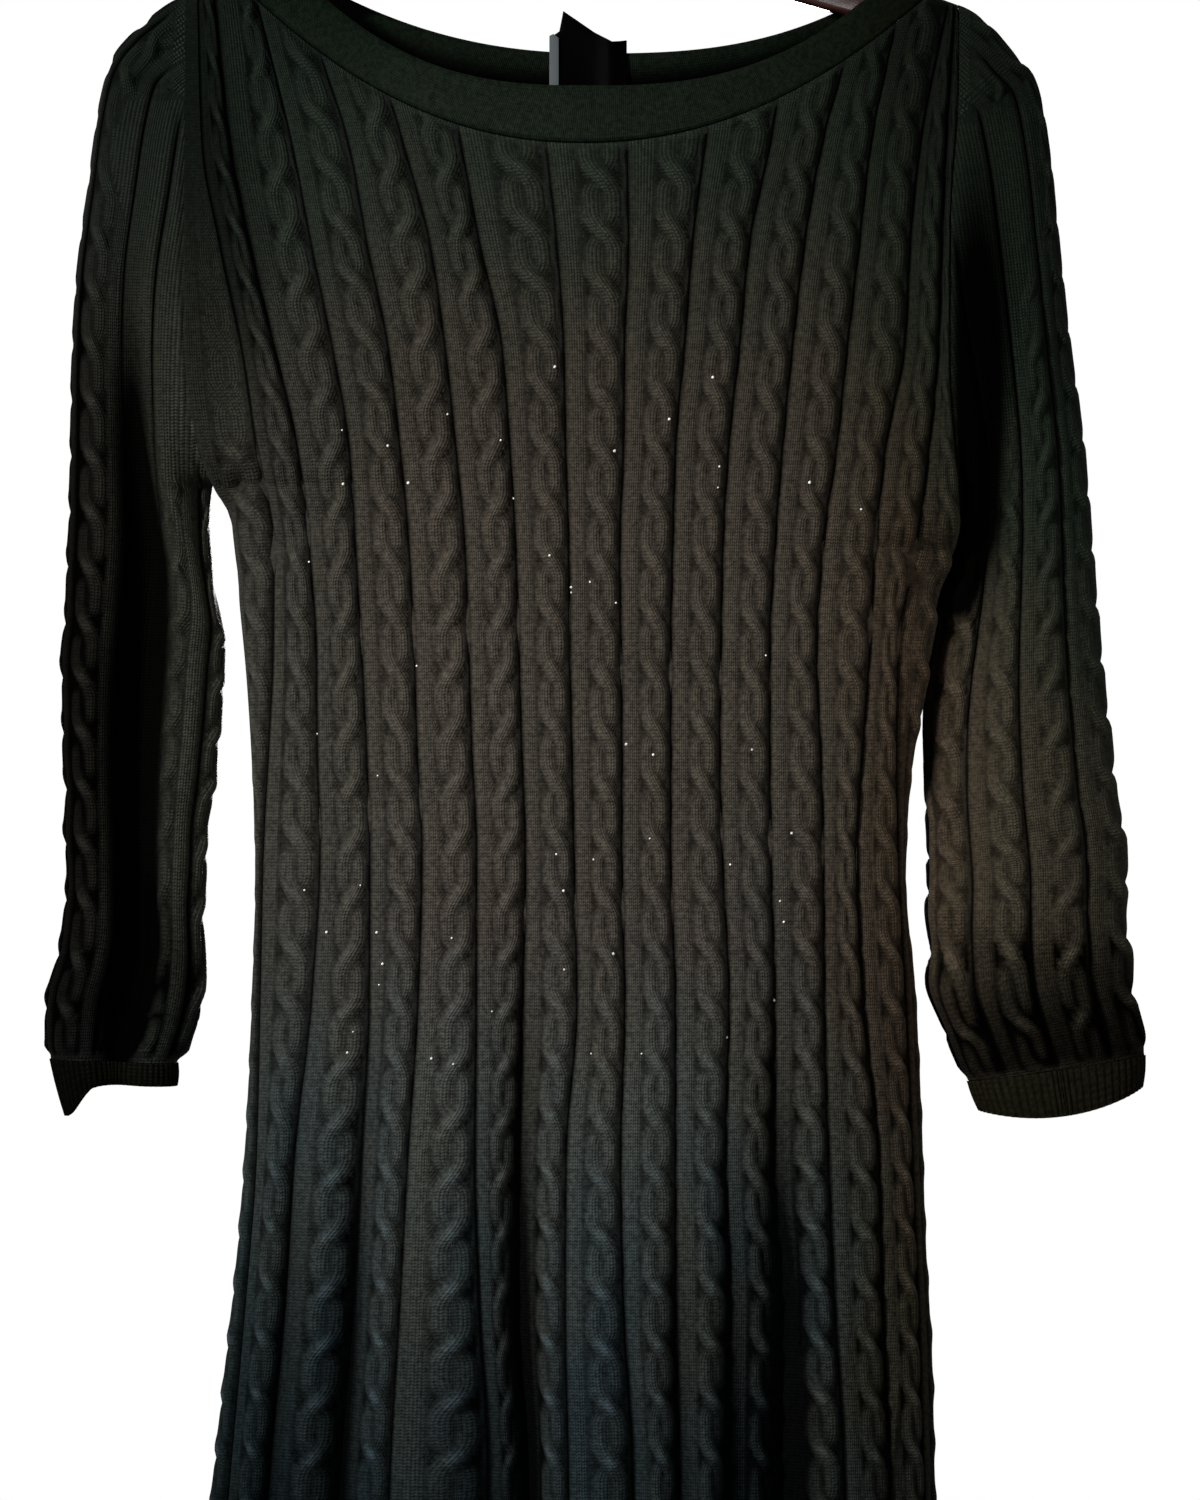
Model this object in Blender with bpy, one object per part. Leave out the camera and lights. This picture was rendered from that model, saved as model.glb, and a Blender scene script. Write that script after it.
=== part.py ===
"""A cable-knit sweater dress with bracelet sleeves, hanging on a wooden hanger.

The front faces -Y and +Z is up. The origin is the inside top of the hanger's hook, where a rail
carries it. Sizes are written in millimetres and become metres as each mesh is made.
"""

import math
from collections import namedtuple

import bmesh
import bpy
from mathutils import Vector

MM = 0.001

# The knit: a plain wall, with cables raised on its right side.
WALL = 1.5
CABLE_RAISE = 2.2
CABLE_SWAY = 0.17
HALF_REPEAT = 13.6
COLUMNS = 13
SEAM_GAP = 0.3
HALF_GAP = SEAM_GAP / 2
FADE = 9.0
INNER_EVERY = 4
UNDERARM_ROWS = (6, 14)

# The shoulder line that the hanger gives the cloth.
SHOULDER_TOP = -88.9
SHOULDER_SLOPE = 0.345
HANG_TILT = 0.0157
SHOULDER_ROUND = 12.0
CHEST_SPREAD = 0.1

# The neck opening: a wide boat neck, deeper in front than behind.
SEAM_CENTRE, SEAM_HALF = 3.0, 174.0
EDGE_CENTRE, EDGE_HALF = 6.0, 150.0
BAND_THICK = 2.4
Neck = namedtuple("Neck", "seam_low seam_power edge_low edge_power lean")
FRONT_NECK = Neck(-227.5, 2.1, -199.5, 2.65, 0.0)
BACK_NECK = Neck(-208.0, 2.3, -182.0, 2.5, 0.07)
CORNER_STEP = 0.15
NECK_SPREAD = 0.6

# Rows of the panels: fitted ones above the level line, even ones below it.
LEVEL = -300.0
TOP_ROWS = 10
SHOULDER_POWER = 1.9
HEM = -1090.0
CROWN = 2.4

# Armhole seams down to the underarm, then the side seams, with the depth of each layer.
LEFT_UNDERARM, RIGHT_UNDERARM = -397.5, -427.5
Side = namedtuple("Side", "z left right front back")
SIDES = [
    Side(-150.0, -194.0, 190.5, 22.0, 20.0),
    Side(-200.0, -194.0, 190.0, 24.0, 22.0),
    Side(-270.0, -194.0, 185.5, 27.0, 25.0),
    Side(-340.0, -193.0, 185.0, 29.0, 27.0),
    Side(-380.0, -187.5, 187.5, 30.0, 27.5),
    Side(-397.5, -181.5, 189.5, 30.0, 28.0),
    Side(-415.0, -172.5, 190.6, 30.0, 28.0),
    Side(-428.0, -170.5, 189.0, 30.0, 28.0),
    Side(-450.0, -168.5, 182.0, 30.0, 28.0),
    Side(-498.0, -164.0, 174.5, 29.5, 28.0),
    Side(-530.0, -162.0, 168.5, 29.5, 28.0),
    Side(-560.0, -160.7, 165.5, 29.5, 28.0),
    Side(-595.0, -160.0, 164.5, 30.0, 29.0),
    Side(-650.0, -161.5, 169.0, 32.0, 31.0),
    Side(-715.0, -164.0, 172.0, 36.0, 34.0),
    Side(-775.0, -168.0, 174.0, 40.0, 37.0),
    Side(-835.0, -174.0, 177.0, 44.0, 41.0),
    Side(-905.0, -181.5, 178.5, 48.0, 45.0),
    Side(-1000.0, -190.5, 184.0, 53.0, 50.0),
    Side(-1090.0, -198.0, 190.0, 57.0, 54.0),
]

# Soft folds of the skirt: the column that each follows, where it starts, and how far it goes in at the hem.
Fold = namedtuple("Fold", "column start depth width")
FRONT_FOLDS = [
    Fold(2.2, -640.0, 14.0, 1.00),
    Fold(4.8, -600.0, 24.0, 1.10),
    Fold(7.3, -700.0, 11.0, 0.95),
    Fold(9.8, -620.0, 20.0, 1.15),
]
BACK_FOLDS = [
    Fold(2.0, -650.0, 13.0, 1.00),
    Fold(4.0, -720.0, 12.0, 1.00),
    Fold(6.3, -610.0, 23.0, 1.10),
    Fold(8.5, -700.0, 12.0, 1.00),
    Fold(10.6, -640.0, 16.0, 1.05),
]

# Sleeve sections from the armhole to the cuff: the underarm end, the outer end, half the depth,
# and a trough in the front layer, with its place from the underarm (0) to the outside (1).
Section = namedtuple("Section", "in_x in_z out_x out_z depth trough place")
LEFT_SLEEVE = [
    Section(-181.8, -397.5, -194.3, -152.8, 26.0, 0.0, 0.62),
    Section(-182.4, -401.5, -206.0, -163.2, 25.0, 0.0, 0.62),
    Section(-183.0, -406.5, -220.5, -175.0, 24.0, 0.0, 0.62),
    Section(-183.4, -413.0, -231.5, -189.5, 23.0, 1.0, 0.60),
    Section(-183.4, -421.0, -238.0, -214.0, 22.0, 3.0, 0.58),
    Section(-182.8, -431.0, -243.0, -250.0, 21.0, 6.0, 0.56),
    Section(-181.8, -444.0, -248.5, -290.0, 20.0, 10.0, 0.54),
    Section(-179.0, -460.0, -251.0, -335.0, 19.0, 14.0, 0.52),
    Section(-176.5, -478.0, -251.5, -385.0, 18.0, 17.0, 0.50),
    Section(-178.5, -503.0, -252.5, -435.0, 17.5, 19.0, 0.49),
    Section(-181.5, -535.0, -255.0, -482.0, 17.0, 20.0, 0.49),
    Section(-186.0, -570.0, -254.5, -530.0, 17.0, 20.0, 0.48),
    Section(-188.3, -605.0, -252.8, -580.0, 17.0, 19.0, 0.47),
    Section(-187.8, -636.0, -254.5, -622.0, 17.0, 18.0, 0.46),
    Section(-190.5, -662.0, -262.5, -654.0, 17.0, 15.0, 0.46),
    Section(-199.5, -686.0, -262.5, -684.0, 16.0, 9.0, 0.46),
]
RIGHT_SLEEVE = [
    Section(190.9, -427.5, 190.8, -157.8, 26.0, 0.0, 0.25),
    Section(193.4, -430.0, 204.0, -168.5, 25.0, 0.0, 0.25),
    Section(195.4, -433.5, 217.5, -184.0, 24.0, 0.0, 0.25),
    Section(196.3, -438.0, 229.5, -200.0, 23.0, 1.0, 0.24),
    Section(196.5, -443.0, 236.0, -233.0, 22.0, 3.0, 0.22),
    Section(195.8, -450.0, 240.5, -275.0, 21.0, 6.0, 0.20),
    Section(193.9, -460.0, 246.0, -325.0, 20.0, 9.0, 0.19),
    Section(190.4, -474.0, 252.5, -375.0, 19.5, 11.0, 0.19),
    Section(186.0, -490.0, 255.8, -415.0, 19.0, 11.0, 0.20),
    Section(181.5, -509.0, 258.5, -452.0, 19.0, 10.0, 0.20),
    Section(177.8, -534.0, 262.0, -492.0, 19.0, 8.0, 0.20),
    Section(176.5, -566.0, 267.0, -537.0, 19.0, 4.0, 0.20),
    Section(177.5, -600.0, 273.0, -582.0, 19.0, 1.0, 0.22),
    Section(177.0, -632.0, 274.5, -630.0, 19.0, 0.0, 0.25),
    Section(180.5, -658.0, 279.5, -658.0, 18.5, 0.0, 0.25),
    Section(196.0, -695.0, 284.0, -682.0, 18.0, 0.0, 0.25),
]
SLEEVE_POINTS = 16
SLEEVE_SHARE_POWER = 1.5
SLEEVE_CROWN = 2.3
TROUGH_WIDTH = 0.17
ARMHOLE_RINGS = 6
BOW_RINGS = 8
SLEEVE_PLAIN = 9
SLEEVE_FAN = 15
ARMHOLE_GAP = 0.7

# Ribbed cuffs.
CUFF_HEIGHT = 10.0
CUFF_WALL = 1.6
CUFF_RAISE = 0.7
CUFF_RIBS = 20
Cuff = namedtuple("Cuff", "out_drop flare")
LEFT_CUFF = Cuff(11.0, -1.5)
RIGHT_CUFF = Cuff(1.0, -2.5)

# The folded woven label inside the back neck, and the small tab beside it.
LABEL_OUTLINE = [(-11.5, -202), (25.5, -200), (25.5, -176), (18, -176.5), (9, -171.5), (-5.5, -161), (-11.5, -174)]
LABEL_THICK = 1.0
TAB_LEFT, TAB_RIGHT, TAB_LOW, TAB_HIGH = -14.0, -8.0, -200.0, -173.5
TAB_THICK = 0.5

# The hanger.
HANGER_HALF = 190.0
HANGER_CLEAR = 2.8
HANGER_THICK = 10.0
HANGER_APEX = 20.0
HANGER_HEIGHT, HANGER_TAPER = 31.5, 0.07
HANGER_TIP_ROUND = 12.0
HANGER_SECTIONS = 20
WIRE = 3.6
HOOK_INSIDE = 19.0


def clamp(value, low=0.0, high=1.0):
    return max(low, min(high, value))


def mix(a, b, share):
    return a + (b - a) * share


def ease(share):
    share = clamp(share)
    return share * share * (3.0 - 2.0 * share)


def steps_of(rows, name, key):
    """The slope of a table's column at each row, flat where the column turns round."""
    gaps = [getattr(b, key) - getattr(a, key) for a, b in zip(rows, rows[1:])]
    rises = [(getattr(b, name) - getattr(a, name)) / g for a, b, g in zip(rows, rows[1:], gaps)]
    inner = [0.0 if p * q <= 0 else 2.0 * p * q / (p + q) for p, q in zip(rises, rises[1:])]
    return [rises[0], *inner, rises[-1]]


SLOPES = {name: steps_of(SIDES, name, "z") for name in ("left", "right", "front", "back")}


def side(name, z):
    """A column of the table of sides at height z, on a smooth curve through its rows."""
    z = clamp(z, SIDES[-1].z, SIDES[0].z)
    low = next(n for n in range(1, len(SIDES)) if z >= SIDES[n].z)
    a, b = SIDES[low - 1], SIDES[low]
    gap = b.z - a.z
    t = (z - a.z) / gap
    start, end = getattr(a, name), getattr(b, name)
    leave, arrive = SLOPES[name][low - 1] * gap, SLOPES[name][low] * gap
    return (
        start * (2 * t**3 - 3 * t**2 + 1)
        + leave * (t**3 - 2 * t**2 + t)
        + end * (3 * t**2 - 2 * t**3)
        + arrive * (t**3 - t**2)
    )


def shoulder_line(x):
    """The height of the cloth's top over the hanger."""
    return SHOULDER_TOP - SHOULDER_SLOPE * abs(x) - HANG_TILT * x


def shoulder_round(drop):
    """How far the cloth stands from the hanger's plane, a given drop below its top."""
    top = clamp(drop / SHOULDER_ROUND)
    return SHOULDER_ROUND * math.sqrt(1.0 - (1.0 - top) ** 2) + CHEST_SPREAD * max(0.0, drop - SHOULDER_ROUND)


def armhole_depth(name, z):
    """Half the depth of an armhole at height z, closed at the shoulder and at the underarm."""
    underarm = LEFT_UNDERARM if name == "left" else RIGHT_UNDERARM
    top = shoulder_line(side(name, SIDES[0].z))
    share = clamp((top - z) / (top - underarm))
    return max(HALF_GAP, shoulder_round(top - z) * math.sqrt(1.0 - share**4))


def column_share(column):
    """Where a cable column lies across a panel, from its left seam (0) to its right seam (1)."""
    return 0.0867 * column - 0.00075 * column * column if column < COLUMNS else 1.0


def fold_depth(folds, column, z):
    total = 0.0
    for fold in folds:
        grown = clamp((fold.start - z) / (fold.start - HEM)) ** 1.2
        total += fold.depth * grown * math.exp(-(((column - fold.column) / fold.width) ** 2))
    return total


def panel_depth(front, x, z, column):
    """The distance of a panel's knit from the plane of the hanger."""
    left, right = side("left", z), side("right", z)
    share = clamp((x - left) / (right - left))
    crown = max(0.0, 1.0 - abs(2.0 * share - 1.0) ** CROWN) ** (1.0 / CROWN)
    rim = armhole_depth("left" if share < 0.5 else "right", z)
    deep = side("front" if front else "back", z)
    plain = rim + (deep - rim) * crown
    folds = FRONT_FOLDS if front else BACK_FOLDS
    plain -= fold_depth(folds, column, z) * min(1.0, 2.0 * crown)
    return max(HALF_GAP, min(plain, shoulder_round(shoulder_line(x) - z)))


def neck_seam(neck, x):
    reach = (x - SEAM_CENTRE) / SEAM_HALF
    corner = shoulder_line(SEAM_CENTRE + math.copysign(SEAM_HALF, reach))
    return neck.seam_low + (corner - neck.seam_low) * min(1.0, abs(reach)) ** neck.seam_power


def neck_edge(neck, x):
    reach = (x - EDGE_CENTRE) / EDGE_HALF
    reach -= neck.lean * (1.0 - reach * reach)
    corner = shoulder_line(EDGE_CENTRE + math.copysign(EDGE_HALF, reach))
    return neck.edge_low + (corner - neck.edge_low) * min(1.0, abs(reach)) ** neck.edge_power


def across_neck(column):
    """Where a column meets the neck, from its left corner (-1) to its right corner (1)."""
    middle = COLUMNS / 2
    reach = (column - middle) / (middle - 1.0)
    return NECK_SPREAD * math.sin(reach * math.pi / 2) + (1.0 - NECK_SPREAD) * reach


def top_point(neck, column):
    """The top end of a column: on a shoulder seam, or on the neck seam."""
    if column < 1.0:
        x = mix(side("left", SIDES[0].z), SEAM_CENTRE - SEAM_HALF, column)
        return x, shoulder_line(x)
    if column > COLUMNS - 1.0:
        x = mix(side("right", SIDES[0].z), SEAM_CENTRE + SEAM_HALF, COLUMNS - column)
        return x, shoulder_line(x)
    x = SEAM_CENTRE + SEAM_HALF * across_neck(column)
    return x, neck_seam(neck, x)


def level_x(column, z):
    return mix(side("left", z), side("right", z), column_share(column))


def panel_place(neck, column, row):
    """X and Z of a point of a panel. Row 0 is the top edge, and LEVEL is row TOP_ROWS."""
    if row >= TOP_ROWS:
        step = (LEVEL - HEM) / LOW_ROWS
        z = LEVEL - (row - TOP_ROWS) * step
        return level_x(column, z), z
    near_shoulder = 1.0 - ease((min(column, COLUMNS - column) - 1.0) / 2.5)
    share = (row / TOP_ROWS) ** mix(1.0, SHOULDER_POWER, near_shoulder)
    top_x, top_z = top_point(neck, column)
    z = mix(top_z, LEVEL, share)
    x = mix(top_x, level_x(column, LEVEL), ease(share) * 0.5 + share * 0.5)
    left_x = mix(side("left", SIDES[0].z), side("left", LEVEL), ease(share) * 0.5 + share * 0.5)
    right_x = mix(side("right", SIDES[0].z), side("right", LEVEL), ease(share) * 0.5 + share * 0.5)
    lean = column_share(column)
    x += (side("left", z) - left_x) * (1.0 - lean) ** 3 + (side("right", z) - right_x) * lean**3
    return x, z


LOW_ROWS = round((LEVEL - HEM) / HALF_REPEAT)
PANEL_ROWS = TOP_ROWS + LOW_ROWS


def panel_point(front, column, row):
    neck = FRONT_NECK if front else BACK_NECK
    x, z = panel_place(neck, column, row)
    y = panel_depth(front, x, z, column)
    return Vector((x, -y if front else y, z))


def panel_normal(front, column, row):
    """The outward direction of a panel, kept flat to each seam's plane at its edges."""
    nudge = 0.2
    a = panel_point(front, max(0.0, column - nudge), row)
    b = panel_point(front, min(COLUMNS, column + nudge), row)
    c = panel_point(front, column, max(0.0, row - nudge))
    d = panel_point(front, column, min(PANEL_ROWS, row + nudge))
    normal = (b - a).cross(c - d)
    if not front:
        normal.negate()
    z = panel_point(front, column, row).z
    underarm = LEFT_UNDERARM if column < COLUMNS / 2 else RIGHT_UNDERARM
    at_edge = column in (0.0, COLUMNS)
    at_shoulder = row == 0 and not 1.0 < column < COLUMNS - 1.0
    if at_edge and z <= underarm or at_shoulder:
        normal.y = 0.0
    return normal.normalized()


def cable_wave(z):
    """The sideways swing of a rope of stitches, 1 and -1 at its crossings."""
    turn = (LEVEL - z) / HALF_REPEAT
    whole = math.floor(turn)
    start = 1.0 if whole % 2 == 0 else -1.0
    return start * (1.0 - 2.0 * (turn - whole))


def panel_columns():
    """The columns that carry points: each groove and rope, and one near each corner of the neck."""
    columns = [n / 2 for n in range(2 * COLUMNS + 1)]
    return sorted([*columns, 1.0 + CORNER_STEP, COLUMNS - 1.0 - CORNER_STEP])


def outer_panel_point(front, column, row):
    rope = 1.0 - abs(2.0 * (column - math.floor(column)) - 1.0)
    z = panel_point(front, column, row).z
    top_gap = panel_point(front, column, 0).z - z
    seam_fade = ease(min(top_gap, z - HEM) / FADE)
    sway = column + (CABLE_SWAY * cable_wave(z) * seam_fade if rope == 1.0 else 0.0)
    point = panel_point(front, sway, row)
    raise_by = CABLE_RAISE * rope * seam_fade
    return point + panel_normal(front, sway, row) * raise_by


def inner_panel_point(front, column, row):
    return panel_point(front, column, row) - panel_normal(front, column, row) * WALL


def add_chain(bm, points):
    return [bm.verts.new(point * MM) for point in points]


def skin(bm, upper, lower):
    """Faces between two chains of points, which may have different numbers of points."""
    a = b = 0
    while a < len(upper) - 1 or b < len(lower) - 1:
        next_a = (a + 1) / (len(upper) - 1)
        next_b = (b + 1) / (len(lower) - 1)
        if abs(next_a - next_b) < 1e-9:
            bm.faces.new((upper[a], upper[a + 1], lower[b + 1], lower[b]))
            a += 1
            b += 1
        elif next_a < next_b:
            bm.faces.new((upper[a], upper[a + 1], lower[b]))
            a += 1
        else:
            bm.faces.new((upper[a], lower[b + 1], lower[b]))
            b += 1


def finish_object(bm, name, material, smooth_angle=50.0):
    bmesh.ops.recalc_face_normals(bm, faces=bm.faces)
    bmesh.ops.triangulate(bm, faces=bm.faces)
    mesh = bpy.data.meshes.new(name)
    bm.to_mesh(mesh)
    bm.free()
    mesh.shade_smooth()
    mesh.set_sharp_from_angle(angle=math.radians(smooth_angle))
    mesh.materials.append(material)
    made = bpy.data.objects.new(name, mesh)
    bpy.context.scene.collection.objects.link(made)
    return made


def make_material(name, colour, roughness, metallic=0.0):
    material = bpy.data.materials.new(name)
    material.use_nodes = True
    shader = material.node_tree.nodes["Principled BSDF"]
    shader.inputs["Base Color"].default_value = (*colour, 1.0)
    shader.inputs["Roughness"].default_value = roughness
    shader.inputs["Metallic"].default_value = metallic
    return material


def make_panel(name, front, material):
    """A front or back: a cabled outer face over a plain inner one, closed round its four edges."""
    columns = panel_columns()
    fine = range(PANEL_ROWS + 1)
    first, last = (TOP_ROWS + n for n in UNDERARM_ROWS)
    coarse = [r for r in fine if r in (1, 2, PANEL_ROWS) or r < first and r % 2 == 0]
    coarse += [r for r in fine if first <= r < last or last <= r < PANEL_ROWS and r % INNER_EVERY == 0]
    coarse.sort()
    bm = bmesh.new()
    outer = [add_chain(bm, [outer_panel_point(front, c, r) for c in columns]) for r in fine]
    inner = [add_chain(bm, [inner_panel_point(front, c, r) for c in columns]) for r in coarse]
    for sheet in (outer, inner):
        for upper, lower in zip(sheet, sheet[1:]):
            skin(bm, upper, lower)
    skin(bm, outer[0], inner[0])
    skin(bm, outer[-1], inner[-1])
    for edge in (0, -1):
        for first, last in zip(range(len(coarse)), range(1, len(coarse))):
            run = [outer[r][edge] for r in range(coarse[first], coarse[last] + 1)]
            skin(bm, run, [inner[first][edge], inner[last][edge]])
    return finish_object(bm, name, material)


def blend_at(rows, place, name):
    """A column of a sleeve's table at a place between its rows, on a smooth curve."""
    low = min(int(place), len(rows) - 2)
    t = place - low
    p0, p1, p2, p3 = (getattr(rows[int(clamp(low + n, 0, len(rows) - 1))], name) for n in (-1, 0, 1, 2))
    return 0.5 * (
        2 * p1 + (p2 - p0) * t + (2 * p0 - 5 * p1 + 4 * p2 - p3) * t**2 + (3 * p1 - 3 * p2 + p3 - p0) * t**3
    )


def sleeve_places(rows):
    """Places along a sleeve's table that are half a cable repeat apart on its outer side."""
    along = [0.0]
    for a, b in zip(rows, rows[1:]):
        along.append(along[-1] + math.hypot(b.out_x - a.out_x, b.out_z - a.out_z))
    count = round(along[-1] / HALF_REPEAT)
    places = []
    for n in range(count + 1):
        want = along[-1] * n / count
        low = max(k for k in range(len(along) - 1) if along[k] <= want + 1e-9)
        places.append(low + (want - along[low]) / (along[low + 1] - along[low]))
    return places


def sleeve_point(rows, place, turn):
    """A point of a sleeve. turn goes from the underarm (0) over the front to the outside (0.5) and back."""
    out = 1.0 if rows[0].in_x > 0 else -1.0
    name = "right" if out > 0 else "left"
    angle = turn * 2 * math.pi
    swing = math.cos(angle)
    share = 0.5 - 0.5 * math.copysign(abs(swing) ** SLEEVE_SHARE_POWER, swing)
    inner = Vector((blend_at(rows, place, "in_x"), 0, blend_at(rows, place, "in_z")))
    outer = Vector((blend_at(rows, place, "out_x"), 0, blend_at(rows, place, "out_z")))
    point = inner.lerp(outer, share)
    crown = max(0.0, 1.0 - abs(2.0 * share - 1.0) ** SLEEVE_CROWN) ** (1.0 / SLEEVE_CROWN)
    deep = blend_at(rows, place, "depth") * crown
    near = clamp(1.0 - place / ARMHOLE_RINGS)
    if near > 0:
        deep = mix(deep, armhole_depth(name, point.z) * (crown > 0), near)
    bowed = clamp(1.0 - place / BOW_RINGS)
    seam_z = mix(rows[0].in_z, rows[0].out_z, share)
    seam_x = mix(rows[0].in_x, rows[0].out_x, share)
    point.x += (side(name, seam_z) + out * ARMHOLE_GAP - seam_x) * bowed
    front = -1.0 if math.sin(angle) >= 0 else 1.0
    y = front * deep
    if front < 0:
        away = (share - blend_at(rows, place, "place")) / TROUGH_WIDTH
        y += blend_at(rows, place, "trough") * math.exp(-away * away) * min(1.0, 1.5 * crown)
    point.y = y
    return point


def sleeve_normal(rows, place, turn):
    """The outward direction of a sleeve, kept in the plane of its own section."""
    end = len(rows) - 1
    nudge = 0.02
    a = sleeve_point(rows, place, turn - nudge)
    b = sleeve_point(rows, place, turn + nudge)
    c = sleeve_point(rows, max(0.001, place - nudge), turn)
    d = sleeve_point(rows, min(end, place + nudge), turn)
    normal = (b - a).cross(d - c)
    if rows[0].in_x < 0:
        normal.negate()
    if place == 0:
        normal.x = 0.0
    else:
        run = sleeve_axis(rows, place)
        normal -= run * normal.dot(run)
    return normal.normalized()


def sleeve_axis(rows, place):
    """The way a sleeve runs, square to its section at a place."""
    reach_x = blend_at(rows, place, "out_x") - blend_at(rows, place, "in_x")
    reach_z = blend_at(rows, place, "out_z") - blend_at(rows, place, "in_z")
    across = Vector((reach_x, 0, reach_z)).normalized()
    down = Vector((across.z, 0, -across.x))
    return down if down.z < 0 else -down


def make_sleeve(name, rows, material):
    """A sleeve: a cabled tube over a plain bore, open at the armhole and at the cuff."""
    places = sleeve_places(rows)
    last = len(places) - 1
    coarse = [n for n in range(last + 1) if n <= SLEEVE_FAN or n == last or n % 2 == 0]
    turns = [n / SLEEVE_POINTS for n in range(SLEEVE_POINTS)]
    bm = bmesh.new()
    outer = []
    for n, place in enumerate(places):
        fade = ease(min(n / SLEEVE_PLAIN, last - n))
        chain = []
        for k, turn in enumerate(turns):
            rope = k % 2
            swing = CABLE_SWAY * 2 / SLEEVE_POINTS * (1 if n % 2 else -1) * rope * fade
            swing *= math.sin(turn * 2 * math.pi) ** 2 * clamp(n / 8 - 1)
            place_turn = turn + swing
            point = sleeve_point(rows, place, place_turn)
            chain.append(point + sleeve_normal(rows, place, place_turn) * (CABLE_RAISE * rope * fade))
        outer.append(add_chain(bm, chain))
    inner = []
    for n in coarse:
        chain = [
            sleeve_point(rows, places[n], t) - sleeve_normal(rows, places[n], t) * WALL for t in turns
        ]
        inner.append(add_chain(bm, chain))
    for sheet in (outer, inner):
        for upper, lower in zip(sheet, sheet[1:]):
            skin(bm, [*upper, upper[0]], [*lower, lower[0]])
    for edge in (0, -1):
        skin(bm, [*outer[edge], outer[edge][0]], [*inner[edge], inner[edge][0]])
    return finish_object(bm, name, material)


def make_cuff(name, rows, cuff, material):
    """A short ribbed band below a sleeve, with its ribs raised over a plain inside."""
    end = len(rows) - 1
    down = sleeve_axis(rows, end)
    across = Vector((rows[-1].out_x - rows[-1].in_x, 0, rows[-1].out_z - rows[-1].in_z))
    width = across.length
    count = 2 * CUFF_RIBS
    bm = bmesh.new()
    chains = {}
    for level in (0, 1):
        for layer in ("outer", "inner"):
            chain = []
            for n in range(count):
                turn = n / count
                point = sleeve_point(rows, end, turn)
                normal = sleeve_normal(rows, end, turn)
                share = (point - sleeve_point(rows, end, 0)).dot(across) / width**2
                drop = SEAM_GAP + level * (CUFF_HEIGHT + cuff.out_drop * share**3)
                rib = CUFF_RAISE if n % 2 else 0.0
                off = rib if layer == "outer" else -CUFF_WALL
                widen = across.normalized() * cuff.flare * (2 * share - 1) * level
                chain.append(point + down * drop + normal * off + widen)
            chains[level, layer] = add_chain(bm, chain)
    around = {key: [*chain, chain[0]] for key, chain in chains.items()}
    skin(bm, around[0, "outer"], around[1, "outer"])
    skin(bm, around[0, "inner"], around[1, "inner"])
    skin(bm, around[0, "outer"], around[0, "inner"])
    skin(bm, around[1, "outer"], around[1, "inner"])
    return finish_object(bm, name, material)


def band_points(front):
    """Pairs of points of the neckband from its left corner to its right one: at its seam, and at its edge."""
    neck = FRONT_NECK if front else BACK_NECK
    columns = [c for c in panel_columns() if 1.0 <= c <= COLUMNS - 1.0]
    facing = -1.0 if front else 1.0
    pairs = []
    for column in columns:
        reach = across_neck(column)
        seam_x = SEAM_CENTRE + SEAM_HALF * reach
        edge_x = EDGE_CENTRE + EDGE_HALF * reach
        seam_z, edge_z = neck_seam(neck, seam_x), neck_edge(neck, edge_x)
        seam = Vector((seam_x, facing * panel_depth(front, seam_x, seam_z, column), seam_z))
        edge = Vector((edge_x, facing * panel_depth(front, edge_x, edge_z, column), edge_z))
        if column in (1.0, COLUMNS - 1.0):
            seam.y = edge.y = 0.0
        seam += (edge - seam).normalized() * SEAM_GAP
        pairs.append((seam, edge))
    return pairs


def make_neckband(material):
    """The plain band round the neck, one ring from shoulder to shoulder in front and behind."""
    front, back = band_points(True), band_points(False)
    ring = [*front, *back[-2:0:-1]]
    count = len(ring)
    rows = {"seam_out": [], "edge_out": [], "edge_in": [], "seam_in": []}
    for n, (seam, edge) in enumerate(ring):
        before, after = ring[n - 1], ring[(n + 1) % count]
        along = (after[0] + after[1]) - (before[0] + before[1])
        normal = along.cross(edge - seam).normalized()
        rows["seam_out"].append(seam)
        rows["edge_out"].append(edge)
        rows["edge_in"].append(edge - normal * BAND_THICK)
        rows["seam_in"].append(seam - normal * BAND_THICK + (edge - seam).normalized() * SEAM_GAP * 2)
    bm = bmesh.new()
    chains = [add_chain(bm, points) for points in rows.values()]
    for a, b in zip(chains, chains[1:] + chains[:1]):
        skin(bm, [*a, a[0]], [*b, b[0]])
    return finish_object(bm, "neckband", material)


def make_plate(name, outline, y, thick, material):
    """A flat woven piece in a plane of constant y, with its edges softened."""
    bm = bmesh.new()
    corners = [bm.verts.new(Vector((x, y, z)) * MM) for x, z in outline]
    face = bm.faces.new(corners)
    pushed = bmesh.ops.extrude_face_region(bm, geom=[face])
    moved = [g for g in pushed["geom"] if isinstance(g, bmesh.types.BMVert)]
    bmesh.ops.translate(bm, verts=moved, vec=Vector((0, -thick, 0)) * MM)
    return finish_object(bm, name, material, 30.0)


def hanger_top(x):
    bend = math.sqrt(x * x + HANGER_APEX**2)
    return SHOULDER_TOP - HANGER_CLEAR - SHOULDER_SLOPE * bend - HANG_TILT * x


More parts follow.
